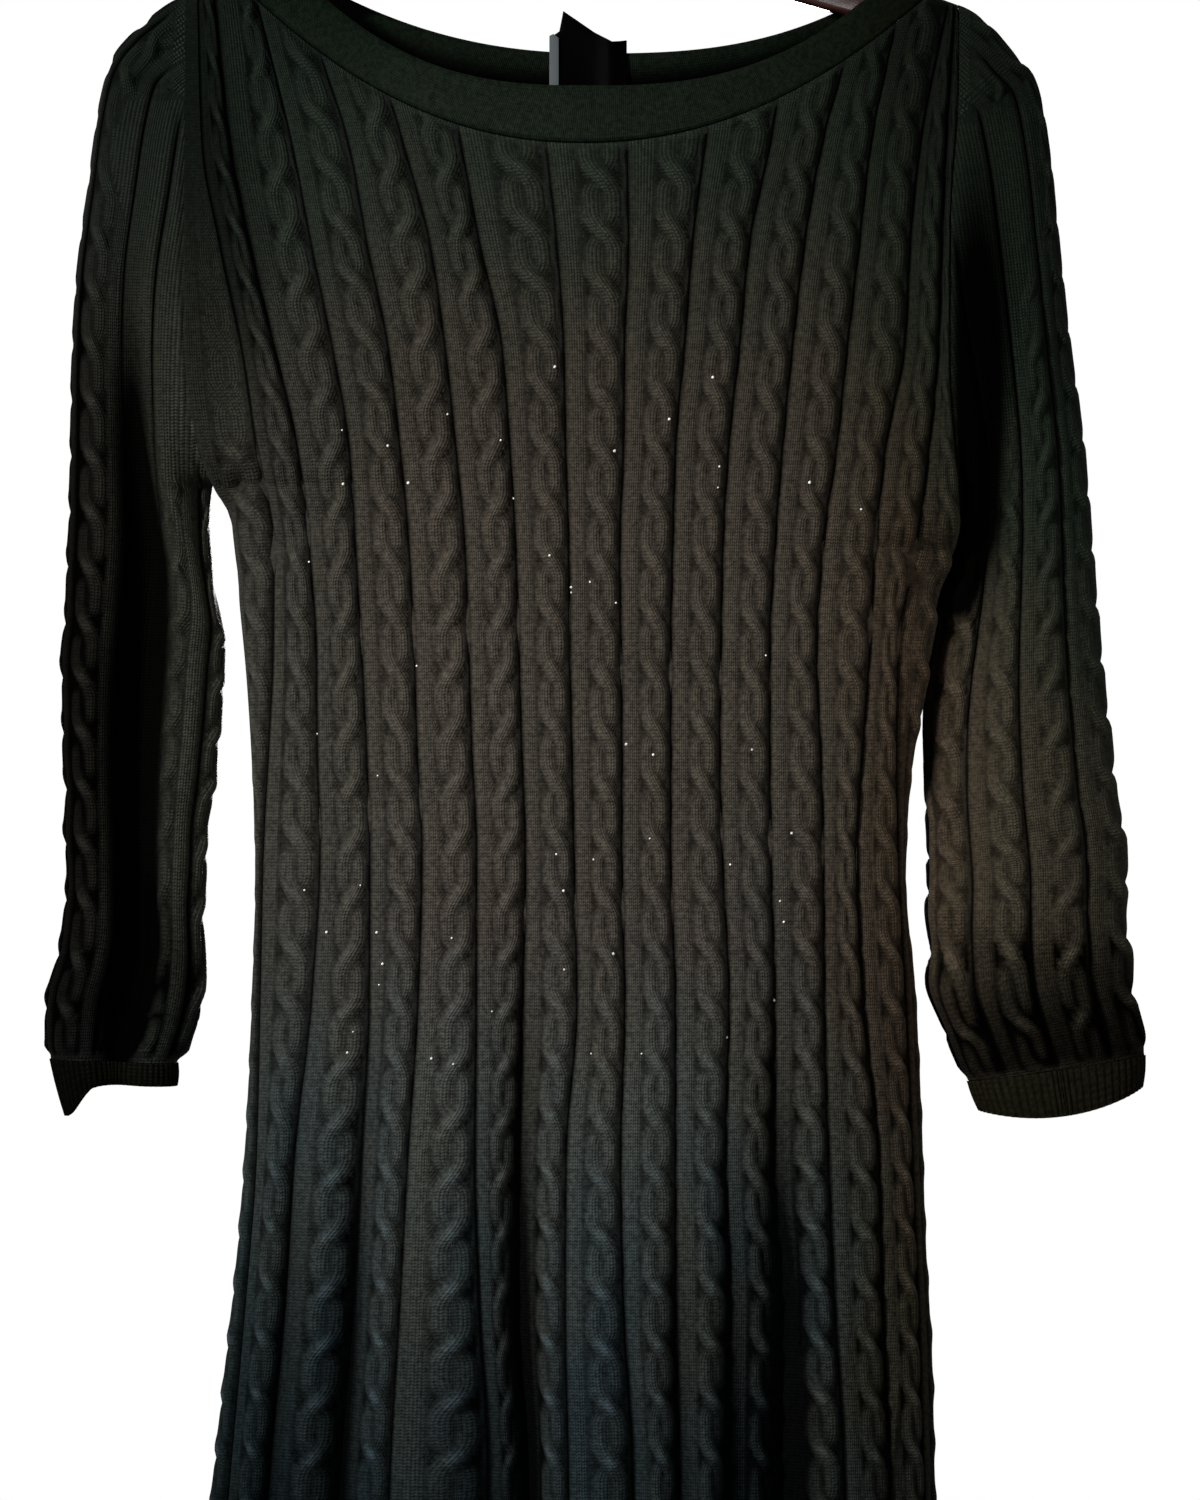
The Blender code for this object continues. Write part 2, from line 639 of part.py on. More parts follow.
def make_hanger(material):
    """The wooden arms, one piece from tip to tip, with a round top edge and rounded tips."""
    rings = []
    for n in range(HANGER_SECTIONS + 1):
        swing = math.sin((n / HANGER_SECTIONS - 0.5) * math.pi)
        x = HANGER_HALF * swing
        tip = clamp((HANGER_HALF - abs(x)) / HANGER_TIP_ROUND)
        full = math.sqrt(max(0.02, 1.0 - (1.0 - tip) ** 2))
        high = (HANGER_HEIGHT - HANGER_TAPER * abs(x)) * mix(0.35, 1.0, full)
        half = HANGER_THICK / 2 * mix(0.45, 1.0, full)
        top = hanger_top(x) - HANGER_TIP_ROUND * (1.0 - full)
        ring = []
        for k in range(5):
            lift = k * math.pi / 4
            ring.append(Vector((x, -half * math.cos(lift), top - half + half * math.sin(lift))))
        ring += [Vector((x, half, top - high + 3)), Vector((x, half - 2, top - high))]
        ring += [Vector((x, 2 - half, top - high)), Vector((x, -half, top - high + 3))]
        rings.append(ring)
    bm = bmesh.new()
    chains = [add_chain(bm, ring) for ring in rings]
    for a, b in zip(chains, chains[1:]):
        skin(bm, [*a, a[0]], [*b, b[0]])
    bm.faces.new(chains[0])
    bm.faces.new(chains[-1])
    return finish_object(bm, "hanger_arms", material)


def make_hook(material):
    """The steel hook: a straight stem that swings out and round over the rail."""
    radius = HOOK_INSIDE + WIRE / 2
    middle = -HOOK_INSIDE
    foot = hanger_top(0.0) + SEAM_GAP
    points = [Vector((0, 0, foot)), Vector((0, 0, middle - 34))]
    for n in range(1, 6):
        t = n / 6
        lean = ease(t)
        points.append(Vector((radius * 0.79 * lean, 0, mix(middle - 34, middle - radius * 0.62, t))))
    for n in range(20):
        angle = math.radians(mix(-38, 205, n / 19))
        points.append(Vector((radius * math.cos(angle), 0, middle + radius * math.sin(angle))))
    curve = bpy.data.curves.new("hanger_hook", "CURVE")
    curve.dimensions = "3D"
    curve.bevel_depth = WIRE / 2 * MM
    curve.bevel_resolution = 2
    curve.use_fill_caps = True
    line = curve.splines.new("POLY")
    line.points.add(len(points) - 1)
    for spot, point in zip(line.points, points):
        spot.co = (*(point * MM), 1.0)
    curve.materials.append(material)
    made = bpy.data.objects.new("hanger_hook", curve)
    bpy.context.scene.collection.objects.link(made)
    return made


def main():
    for item in list(bpy.data.objects):
        bpy.data.objects.remove(item, do_unlink=True)
    knit = make_material("charcoal_cable_knit", (0.022, 0.026, 0.025), 0.85)
    band_knit = make_material("charcoal_plain_knit", (0.018, 0.023, 0.020), 0.88)
    satin = make_material("black_woven_label", (0.008, 0.008, 0.009), 0.45)
    tab_cloth = make_material("pale_woven_tab", (0.35, 0.36, 0.38), 0.60)
    wood = make_material("mahogany_stained_wood", (0.085, 0.018, 0.012), 0.35)
    steel = make_material("polished_steel", (0.62, 0.62, 0.62), 0.22, 1.0)
    make_panel("front_panel", True, knit)
    make_panel("back_panel", False, knit)
    make_sleeve("sleeve_left", LEFT_SLEEVE, knit)
    make_sleeve("sleeve_right", RIGHT_SLEEVE, knit)
    make_cuff("cuff_left", LEFT_SLEEVE, LEFT_CUFF, band_knit)
    make_cuff("cuff_right", RIGHT_SLEEVE, RIGHT_CUFF, band_knit)
    make_neckband(band_knit)
    label_y = panel_depth(False, 0.0, BACK_NECK.edge_low, COLUMNS / 2) - BAND_THICK - 4 * SEAM_GAP
    make_plate("neck_label", LABEL_OUTLINE, label_y, LABEL_THICK, satin)
    tab = [(TAB_LEFT, TAB_LOW), (TAB_RIGHT, TAB_LOW), (TAB_RIGHT, TAB_HIGH), (TAB_LEFT, TAB_HIGH)]
    make_plate("size_tab", tab, label_y - LABEL_THICK - SEAM_GAP, TAB_THICK, tab_cloth)
    make_hanger(wood)
    make_hook(steel)


main()
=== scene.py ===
# %% [markdown]
# # A cable-knit sweater dress on a hanger
#
# A dress of dark knit hangs from a wooden hanger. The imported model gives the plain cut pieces, in
# metres, with +Z up and the front facing -Y. This lesson dresses them: each cloth piece is made
# again as a fine shell on the same form, with its cables, wales and folds.

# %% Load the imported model
import math
from collections import namedtuple

import bmesh
import bpy
import numpy as np
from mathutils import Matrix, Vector


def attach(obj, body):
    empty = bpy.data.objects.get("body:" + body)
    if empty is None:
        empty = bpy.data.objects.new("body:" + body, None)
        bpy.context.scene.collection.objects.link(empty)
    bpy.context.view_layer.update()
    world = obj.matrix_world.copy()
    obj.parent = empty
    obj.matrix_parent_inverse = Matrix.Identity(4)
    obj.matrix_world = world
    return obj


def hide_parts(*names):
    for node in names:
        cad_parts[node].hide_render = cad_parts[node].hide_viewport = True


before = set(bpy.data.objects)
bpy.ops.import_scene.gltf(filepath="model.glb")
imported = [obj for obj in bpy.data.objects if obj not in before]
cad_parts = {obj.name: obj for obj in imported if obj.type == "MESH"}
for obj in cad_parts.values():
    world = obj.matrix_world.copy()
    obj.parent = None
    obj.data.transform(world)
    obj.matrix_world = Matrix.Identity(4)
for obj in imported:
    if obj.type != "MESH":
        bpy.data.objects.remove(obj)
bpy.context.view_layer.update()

MM = 0.001
print("nodes:", sorted(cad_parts))

# %% [markdown]
# ## Colours and nodes
#
# A finish starts from what the real thing is. Colours are written as sRGB hex values, the way a
# picker shows them, and one function turns them to the linear values that Cycles mixes. One small
# function adds any node with its settings and its links, so each finish reads as a list. It hands
# back one of the node's outputs, which the next node takes in.

# %% Colour and node helpers
def linear(hex_colour):
    """An sRGB hex colour as linear RGBA."""
    parts = [int(hex_colour[n : n + 2], 16) / 255 for n in (1, 3, 5)]
    return (*[p / 12.92 if p <= 0.04045 else ((p + 0.055) / 1.055) ** 2.4 for p in parts], 1.0)


def set_inputs(owner, node, values):
    """Sets inputs of a node, by name or number: a value is stored, and another node's output is linked."""
    for key, value in values.items():
        if isinstance(value, bpy.types.NodeSocket):
            owner.node_tree.links.new(value, node.inputs[key])
        else:
            node.inputs[key].default_value = value


def add_node(owner, kind, inputs, out=0, stops=(), **settings):
    """Adds a node to a material or a world and returns one output. Stops are the colours of a ramp."""
    node = owner.node_tree.nodes.new("ShaderNode" + kind)
    for key, value in settings.items():
        setattr(node, key, value)
    set_inputs(owner, node, inputs)
    for place, colour in stops[2:]:
        node.color_ramp.elements.new(place)
    for n, (place, colour) in enumerate(sorted(stops)):
        node.color_ramp.elements[n].position = place
        node.color_ramp.elements[n].color = linear(colour)
    return node.outputs[out]


def new_material(name, values):
    """A material and its Principled shader. The values are the same all over the surface."""
    material = bpy.data.materials.new(name)
    material.use_nodes = True
    shader = material.node_tree.nodes["Principled BSDF"]
    set_inputs(material, shader, values)
    return material, shader


print("charcoal in linear light:", [round(c, 4) for c in linear("#2c2a27")])

# %% [markdown]
# ## The camera
#
# The dress is looked at straight on, from a little over two metres, so a long lens keeps its sides
# upright. The aim point is the middle of the view, between the neckband and the skirt. The lens
# follows from the height that has to fit into the picture.

# %% Camera
VIEW_DISTANCE = 2.2
VIEW_HEIGHT = 0.75
AIM = Vector((0.012, 0.0, -0.530))
SENSOR = 36.0


def make_camera():
    data = bpy.data.cameras.new("studio_camera")
    data.sensor_fit = "VERTICAL"
    data.sensor_height = SENSOR
    data.sensor_width = SENSOR
    data.lens = SENSOR * VIEW_DISTANCE / VIEW_HEIGHT
    camera = bpy.data.objects.new("studio_camera", data)
    camera.location = AIM + Vector((0.0, -VIEW_DISTANCE, 0.0))
    camera.rotation_euler = (math.radians(90), 0.0, 0.0)
    bpy.context.scene.collection.objects.link(camera)
    bpy.context.scene.camera = camera
    return camera


print("lens:", round(make_camera().data.lens, 1), "mm")

# %% [markdown]
# ## The light
#
# Dark knit on a white ground needs two kinds of light. Lamps with soft cones shape the cables: the
# key lamp stands high on the left, weaker ones fill the front, the right side and the right sleeve,
# and one lights the back. A sun would be simpler, but it can't be turned down on one side alone.

# %% Soft lamps
Lamp = namedtuple("Lamp", "name place aim cone size watts")
LAMPS = [
    Lamp("key_spot", (-1.20, -1.10, 0.25), (0.06, 0.0, -0.53), 34.0, 0.14, 275.0),
    Lamp("front_spot", (0.25, -1.90, -0.50), (0.06, 0.0, -0.53), 27.0, 0.20, 52.0),
    Lamp("right_spot", (1.30, -1.10, -0.50), (0.16, 0.0, -0.53), 36.0, 0.30, 30.0),
    Lamp("sleeve_spot", (0.75, -1.85, -0.40), (0.20, 0.0, -0.48), 11.0, 0.15, 30.0),
    Lamp("back_spot", (0.25, 2.2, -0.30), (0.0, 0.0, -0.60), 50.0, 0.30, 220.0),
]


def hang_lamp(lamp):
    data = bpy.data.lights.new(lamp.name, "SPOT")
    data.spot_size = math.radians(lamp.cone)
    data.spot_blend = 1.0
    data.shadow_soft_size = lamp.size
    data.energy = lamp.watts
    made = bpy.data.objects.new(lamp.name, data)
    made.location = lamp.place
    made.rotation_euler = (Vector(lamp.aim) - Vector(lamp.place)).to_track_quat("-Z", "Y").to_euler()
    made.visible_camera = False
    bpy.context.scene.collection.objects.link(made)


for lamp in LAMPS:
    hang_lamp(lamp)
print("lamps:", len(LAMPS))

# %% [markdown]
# ## The white ground
#
# The world is the plain ground, seen at full strength. That much light would wash out the dark
# knit, so the dress is lit by only a part of it. A Light Path node tells the two apart: its output
# is 1 on the rays that come straight from the camera.

# %% White world
AMBIENT = 0.12


def make_world():
    made = bpy.data.worlds.new("white_studio")
    made.use_nodes = True
    white = linear("#ffffff")
    soft = made.node_tree.nodes["Background"]
    set_inputs(made, soft, {"Color": white, "Strength": AMBIENT})
    full = add_node(made, "Background", {"Color": white, "Strength": 1.0})
    seen = add_node(made, "LightPath", {}, "Is Camera Ray")
    ground = add_node(made, "MixShader", {"Fac": seen, 1: soft.outputs[0], 2: full})
    set_inputs(made, made.node_tree.nodes["World Output"], {"Surface": ground})
    return made


bpy.context.scene.world = make_world()
bpy.context.scene.view_settings.view_transform = "Standard"
print("ambient light:", AMBIENT)

# %% [markdown]
# ## The dye of the knit, and painted shade and light
#
# The wool is charcoal. A ramp over the object's own Z holds its dye and also paints shade and light:
# greenish and darkest at the shoulders, brown over the chest, lightest at the waist, and slate and
# darker again on the skirt, as the lamps' light falls off. A soft noise keeps the change from being
# a straight line, and towards the right the ramp is read from higher up. A second ramp over X paints
# shade on the sides, greyer and darker on the left and most on the left sleeve, and a warmer light on
# the right. Yarn is also dyed in batches that are never quite alike, so the skirt has long soft
# stretches of cooler and warmer wool, from a noise that is drawn out downwards.

# %% Dye and painted shade
HEIGHT_TOP, HEIGHT_FOOT = -0.140, -1.090
HUE_MIDDLE, HUE_TO_RIGHT = 0.12, 1.7
MOTTLE_MM, MOTTLE_SHARE = 60.0, 0.10
# Dye with painted shade and light, by height: darkest at the shoulders, lightest at the waist.
KNIT_DYE_AND_SHADE = [
    (0.00, "#0b160c"),
    (0.06, "#111d12"),
    (0.12, "#1c2118"),
    (0.21, "#2f2b23"),
    (0.30, "#38322a"),
    (0.42, "#3c372f"),
    (0.50, "#3c3731"),
    (0.58, "#3b3d39"),
    (0.66, "#373d3b"),
    (0.74, "#303839"),
    (0.80, "#2c3739"),
    (1.00, "#273439"),
]
# The band's and the cuffs' ramp also holds painted shade, like the one above.
BAND_DYE_AND_SHADE = [(0.00, "#101910"), (0.10, "#141c13"), (0.25, "#1b1910"), (0.60, "#15130a")]
SIDE_FROM, SIDE_TO = -0.27, 0.29
# Painted shade across: darker on the left and the sides, and a warmer painted light on the right.
SIDE_SHADE_TONES = [
    (-0.260, "#8f8f8c"),
    (-0.205, "#a8bcae"),
    (-0.165, "#d0dede"),
    (-0.125, "#e6f0f2"),
    (-0.080, "#ffffff"),
    (0.100, "#f6f5f0"),
    (0.135, "#fbf2e2"),
    (0.165, "#fcdfbe"),
    (0.215, "#fafae4"),
    (0.270, "#dcdcc8"),
]
BATCH_MM, BATCH_STRETCH = 34.0, (1.0, 1.0, 0.30)
BATCH_FROM, BATCH_FULL = 0.35, 0.85
BATCH_TONES = [(0.34, "#d6eeff"), (0.50, "#ffffff"), (0.66, "#fff0da")]
TINT = {"data_type": "RGBA", "blend_type": "MULTIPLY"}


def hue_height(material, axes):
    """How far down the hues are taken: 0 at the neck, 1 at the hem, and less towards the right."""
    ends = {"From Min": HEIGHT_TOP, "From Max": HEIGHT_FOOT}
    share = add_node(material, "MapRange", {"Value": axes["Z"], **ends})
    right = add_node(material, "Math", {0: axes["X"], 1: HUE_MIDDLE}, operation="SUBTRACT", use_clamp=True)
    lift = add_node(material, "Math", {0: right, 1: HUE_TO_RIGHT}, operation="MULTIPLY")
    return add_node(material, "Math", {0: share, 1: lift}, operation="SUBTRACT")


def dye_and_shade_by_height(material, place, drop, hues):
    spots = add_node(material, "TexNoise", {"Vector": place, "Scale": 1 / (MOTTLE_MM * MM), "Detail": 2.0})
    mottle = add_node(material, "Math", {0: spots, 1: MOTTLE_SHARE}, operation="MULTIPLY")
    moved = add_node(material, "Math", {0: drop, 1: mottle}, operation="ADD")
    middle = {0: moved, 1: MOTTLE_SHARE / 2}
    moved = add_node(material, "Math", middle, operation="SUBTRACT", use_clamp=True)
    return add_node(material, "ValToRGB", {"Fac": moved}, stops=hues)


# Multiplies the painted shade across the dress into the colour.
def shade_by_side(material, axes, dye_and_shade):
    ends = {"From Min": SIDE_FROM, "From Max": SIDE_TO}
    across = add_node(material, "MapRange", {"Value": axes["X"], **ends})
    stops = [((x - SIDE_FROM) / (SIDE_TO - SIDE_FROM), tone) for x, tone in SIDE_SHADE_TONES]
    tone = add_node(material, "ValToRGB", {"Fac": across}, stops=stops)
    return add_node(material, "Mix", {0: 1.0, 6: dye_and_shade, 7: tone}, 2, **TINT)


def tint_by_batch(material, place, drop, dye_and_shade):
    long = add_node(material, "Mapping", {"Vector": place, "Scale": BATCH_STRETCH})
    batches = add_node(material, "TexNoise", {"Vector": long, "Scale": 1 / (BATCH_MM * MM), "Detail": 1.0})
    tone = add_node(material, "ValToRGB", {"Fac": batches}, stops=BATCH_TONES)
    ends = {"From Min": BATCH_FROM, "From Max": BATCH_FULL}
    share = add_node(material, "MapRange", {"Value": drop, **ends})
    return add_node(material, "Mix", {0: share, 6: dye_and_shade, 7: tone}, 2, **TINT)


print("hues down the dress:", len(KNIT_DYE_AND_SHADE), "tones across it:", len(SIDE_SHADE_TONES))

# %% [markdown]
# ## Fibres, painted shade and painted highlights
#
# A melange yarn is spun from lighter and darker fibres, which a fine noise gives. Each knit piece
# also carries an attribute of painted shade. Above 0 it is painted shade, deeper where a point lies
# between the ribs and little light gets in. Below 0 it marks the crest of a cable with a painted
# highlight, for the light the crest catches. Painting the shade and the highlights in this way is
# cheaper than tracing the light through millions of loops.

# %% Shade of the knit
MELANGE_MM, MELANGE_SHARE = 2.2, 0.80
MELANGE_TONES = [(0.32, "#7c7c7c"), (0.68, "#ffffff")]
PAINTED_SHADE_HUE = "#010101"
# Painted highlights for the crests of the cables, by height: brightest on the skirt.
CREST_HIGHLIGHT = [
    (0.00, "#020302"),
    (0.40, "#0c0b09"),
    (0.60, "#181e20"),
    (0.75, "#2e3a42"),
    (1.00, "#303e47"),
]


def shade_knit(material, dye_and_shade, fibres, painted_shade, drop):
    melange = add_node(material, "ValToRGB", {"Fac": fibres}, stops=MELANGE_TONES)
    flecked = add_node(material, "Mix", {0: MELANGE_SHARE, 6: dye_and_shade, 7: melange}, 2, **TINT)
    # Painted shade darkens the colour, and painted highlights are added on the crests.
    dark = {0: painted_shade, 6: flecked, 7: linear(PAINTED_SHADE_HUE)}
    shaded = add_node(material, "Mix", dark, 2, data_type="RGBA")
    crest = add_node(material, "Math", {0: painted_shade, 1: -1.0}, operation="MULTIPLY", use_clamp=True)
    shine = add_node(material, "ValToRGB", {"Fac": drop}, stops=CREST_HIGHLIGHT)
    painted_highlight = add_node(material, "Mix", {0: crest, 6: linear("#000000"), 7: shine}, 2, data_type="RGBA")
    both = {0: 1.0, 6: shaded, 7: painted_highlight}
    return add_node(material, "Mix", both, 2, data_type="RGBA", blend_type="ADD")


print("crests shine most on the skirt:", CREST_HIGHLIGHT[-1][1])

# %% [markdown]
# ## Stitches
#
# Stitches are small V shapes stacked in wales, about 2 mm wide and 1.6 mm high. A UV map counts
# wales across and stitches down, and follows the strands of the cables, so the same small pattern
# turns with the yarn. Each wale is split into two legs that lean towards each other, and a sine
# wave along the leaning count makes the loops. It goes into a bump, because real loops in mesh
# would need millions of faces. Wool is matte, with a faint gleam and fuzz where light gets in.

# %% Knit material
STITCH_LEAN, LOOP_SHARE, FIBRE_SHARE = 0.32, 0.45, 0.8
STITCH_BUMP_MM, BAND_BUMP_MM, BUMP_STRENGTH = 0.42, 0.22, 0.7
KNIT_GLEAM, KNIT_FUZZ, BAND_SHEEN_SHARE = 0.07, 0.02, 0.3
KNIT_LOOK = {"Roughness": 0.55, "Sheen Roughness": 0.6}


def stitch_bump(material, fibres, bump_mm):
    wales = add_node(material, "UVMap", {}, uv_map="knit")
    count = add_node(material, "SeparateXYZ", {"Vector": wales}).node.outputs
    across = add_node(material, "Math", {0: count["X"]}, operation="FRACT")
    from_middle = add_node(material, "Math", {0: across, 1: 0.5}, operation="SUBTRACT")
    leg = add_node(material, "Math", {0: from_middle}, operation="ABSOLUTE")
    lean = add_node(material, "Math", {0: leg, 1: 2 * STITCH_LEAN}, operation="MULTIPLY")
    leaning = add_node(material, "Math", {0: count["Y"], 1: lean}, operation="SUBTRACT")
    turns = [add_node(material, "Math", {0: n, 1: 2 * math.pi}, operation="MULTIPLY") for n in (leaning, leg)]
    loop, round_leg = (add_node(material, "Math", {0: turn}, operation="SINE") for turn in turns)
    loop = add_node(material, "Math", {0: loop, 1: LOOP_SHARE}, operation="MULTIPLY")
    stitch = add_node(material, "Math", {0: loop, 1: round_leg}, operation="ADD")
    rough = add_node(material, "Math", {0: fibres, 1: FIBRE_SHARE}, operation="MULTIPLY")
    grain = add_node(material, "Math", {0: stitch, 1: rough}, operation="ADD")
    return add_node(material, "Bump", {"Height": grain, "Distance": bump_mm * MM, "Strength": BUMP_STRENGTH})


def knit_material(name, hues, bump_mm, sheen_share):
    material, shader = new_material(name, KNIT_LOOK)
    place = add_node(material, "TexCoord", {}, "Object")
    axes = add_node(material, "SeparateXYZ", {"Vector": place}).node.outputs
    drop = hue_height(material, axes)
    dye_and_shade = shade_by_side(material, axes, dye_and_shade_by_height(material, place, drop, hues))
    dye_and_shade = tint_by_batch(material, place, drop, dye_and_shade)
    fibres = add_node(material, "TexNoise", {"Vector": place, "Scale": 1 / (MELANGE_MM * MM), "Detail": 3.0})
    painted_shade = add_node(material, "Attribute", {}, "Fac", attribute_name="painted_shade")
    lit = add_node(material, "Math", {0: 1.0, 1: painted_shade}, operation="SUBTRACT", use_clamp=True)
    gleam = add_node(material, "Math", {0: lit, 1: KNIT_GLEAM * sheen_share}, operation="MULTIPLY")
    fuzz = add_node(material, "Math", {0: lit, 1: KNIT_FUZZ * sheen_share}, operation="MULTIPLY")
    colour = shade_knit(material, dye_and_shade, fibres, painted_shade, drop)
    bump = stitch_bump(material, fibres, bump_mm)
    look = {"Base Color": colour, "Specular IOR Level": gleam, "Sheen Weight": fuzz, "Normal": bump}
    set_inputs(material, shader, look)
    return material


cable_knit = knit_material("charcoal_wool_cable_knit", KNIT_DYE_AND_SHADE, STITCH_BUMP_MM, 1.0)
plain_knit = knit_material("charcoal_wool_plain_knit", BAND_DYE_AND_SHADE, BAND_BUMP_MM, BAND_SHEEN_SHARE)
print("materials:", cable_knit.name, plain_knit.name)

# %% [markdown]
# ## Label and tab
#
# The label is woven from shiny black polyester, and the tab is a matte pale cotton weave. Threads
# of half a millimetre cross over and under: the product of two sine waves, one on each axis, is
# such a checker of small hills. A noise wears the gloss unevenly.

# %% Woven cloth
WEAVE_MM, WEAVE_HIGH_MM, WEAVE_STRENGTH = 0.5, 0.05, 0.5
WEAR_SCALE, WEAR_SPREAD = 180.0, 0.2


def woven_material(name, colour, roughness, specular):
    material, shader = new_material(name, {"Base Color": linear(colour), "Specular IOR Level": specular})
    place = add_node(material, "TexCoord", {}, "Object")
    axes = add_node(material, "SeparateXYZ", {"Vector": place}).node.outputs
    pace = 2 * math.pi / (WEAVE_MM * MM)
    turns = [add_node(material, "Math", {0: axes[n], 1: pace}, operation="MULTIPLY") for n in "XZ"]
    beats = [add_node(material, "Math", {0: turn}, operation="SINE") for turn in turns]
    weave = add_node(material, "Math", {0: beats[0], 1: beats[1]}, operation="MULTIPLY")
    wear = add_node(material, "TexNoise", {"Vector": place, "Scale": WEAR_SCALE, "Detail": 2.0})
    spread = add_node(material, "Math", {0: wear, 1: WEAR_SPREAD}, operation="MULTIPLY")
    dulled = add_node(material, "Math", {0: roughness - WEAR_SPREAD / 2, 1: spread}, operation="ADD")
    threads = {"Height": weave, "Distance": WEAVE_HIGH_MM * MM, "Strength": WEAVE_STRENGTH}
    bump = add_node(material, "Bump", threads)
    set_inputs(material, shader, {"Roughness": dulled, "Normal": bump})
    return material


label_satin = woven_material("black_polyester_satin", "#010101", 0.40, 0.01)
# The tab's cloth is pale; its colour here is darker, as painted shade for its place inside the neck.
tab_cloth = woven_material("pale_woven_cotton_tab", "#4c5053", 0.85, 0.10)
print("woven cloth:", label_satin.name, tab_cloth.name)

# %% [markdown]
# ## Wood, steel and pale specks
#
# The hanger is open-pored wood with a dark red stain under satin varnish: long grain runs along the
# arms, and the clear coat on top shines. The hook is polished steel with faint scratches, so only
# its roughness varies. The small specks are pale grey and matte, with a soft sheen.

# %% Finishes of the hanger and the specks
GRAIN_SCALE = (12.0, 260.0, 260.0)
WOOD_HUES = [(0.30, "#1a0705"), (0.55, "#35110b"), (0.78, "#4a1a10")]
WOOD_LOOK = {"Roughness": 0.45, "Coat Weight": 0.7, "Coat Roughness": 0.18}
PORE_HIGH_MM, PORE_STRENGTH = 0.1, 0.3
STEEL_LOOK = {"Base Color": linear("#c8c7c3"), "Metallic": 1.0}
SCRATCH_SCALE, POLISH, SCRATCH_SPREAD = 220.0, 0.14, 0.12
SPECK_LOOK = {"Roughness": 1.0, "Sheen Weight": 0.5}
SPECK_SCALE, SPECK_HUES = 900.0, [(0.35, "#9c9a90"), (0.65, "#dcdad0")]


def wood_material():
    material, shader = new_material("mahogany_stained_varnished_wood", WOOD_LOOK)
    place = add_node(material, "TexCoord", {}, "Object")
    long = add_node(material, "Mapping", {"Vector": place, "Scale": GRAIN_SCALE})
    grain = add_node(material, "TexNoise", {"Vector": long, "Scale": 1.0, "Detail": 4.0})
    colour = add_node(material, "ValToRGB", {"Fac": grain}, stops=WOOD_HUES)
    relief = {"Height": grain, "Distance": PORE_HIGH_MM * MM, "Strength": PORE_STRENGTH}
    bump = add_node(material, "Bump", relief)
    set_inputs(material, shader, {"Base Color": colour, "Normal": bump})
    return material


def steel_material():
    material, shader = new_material("polished_steel_wire", STEEL_LOOK)
    place = add_node(material, "TexCoord", {}, "Object")
    worn = add_node(material, "TexNoise", {"Vector": place, "Scale": SCRATCH_SCALE, "Detail": 3.0})
    spread = add_node(material, "Math", {0: worn, 1: SCRATCH_SPREAD}, operation="MULTIPLY")
    polish = add_node(material, "Math", {0: POLISH, 1: spread}, operation="ADD")
    set_inputs(material, shader, {"Roughness": polish})
    return material


def speck_material():
    material, shader = new_material("pale_speck_finish", SPECK_LOOK)
    place = add_node(material, "TexCoord", {}, "Object")
    speck_noise = add_node(material, "TexNoise", {"Vector": place, "Scale": SPECK_SCALE, "Detail": 2.0})
    colour = add_node(material, "ValToRGB", {"Fac": speck_noise}, stops=SPECK_HUES)
    set_inputs(material, shader, {"Base Color": colour})
    return material


mahogany = wood_material()
steel = steel_material()
speck_finish = speck_material()
print("materials in all:", len(bpy.data.materials))

# %% [markdown]
# ## The cut of the body
#
# The front and the back share one outline: armhole seams from the shoulders to the underarms, then
# side seams that come in at the waist and flare to the hem. A short table holds it. A smooth curve
# through the rows gives any height between them, and numpy works on a whole grid of points at once,
# which a loop over a hundred thousand points would do slowly. All sizes here are in millimetres.

# %% Sides of the body: the X of both side seams, and how far the front and back bulge
Side = namedtuple("Side", "z left right front back")
SIDES = [
    Side(-150.0, -194.0, 190.5, 22.0, 20.0),
    Side(-200.0, -194.0, 190.0, 24.0, 22.0),
    Side(-270.0, -194.0, 185.5, 27.0, 25.0),
    Side(-340.0, -193.0, 185.0, 29.0, 27.0),
    Side(-380.0, -187.5, 187.5, 30.0, 27.5),
    Side(-397.5, -181.5, 189.5, 30.0, 28.0),
    Side(-415.0, -172.5, 190.6, 30.0, 28.0),
    Side(-428.0, -170.5, 189.0, 30.0, 28.0),
    Side(-450.0, -168.5, 182.0, 30.0, 28.0),
    Side(-498.0, -164.0, 174.5, 29.5, 28.0),
    Side(-530.0, -162.0, 168.5, 29.5, 28.0),
    Side(-560.0, -160.7, 165.5, 29.5, 28.0),
    Side(-595.0, -160.0, 164.5, 30.0, 29.0),
    Side(-650.0, -161.5, 169.0, 32.0, 31.0),
    Side(-715.0, -164.0, 172.0, 36.0, 34.0),
    Side(-775.0, -168.0, 174.0, 40.0, 37.0),
    Side(-835.0, -174.0, 177.0, 44.0, 41.0),
    Side(-905.0, -181.5, 178.5, 48.0, 45.0),
    Side(-1000.0, -190.5, 184.0, 53.0, 50.0),
    Side(-1090.0, -198.0, 190.0, 57.0, 54.0),
]


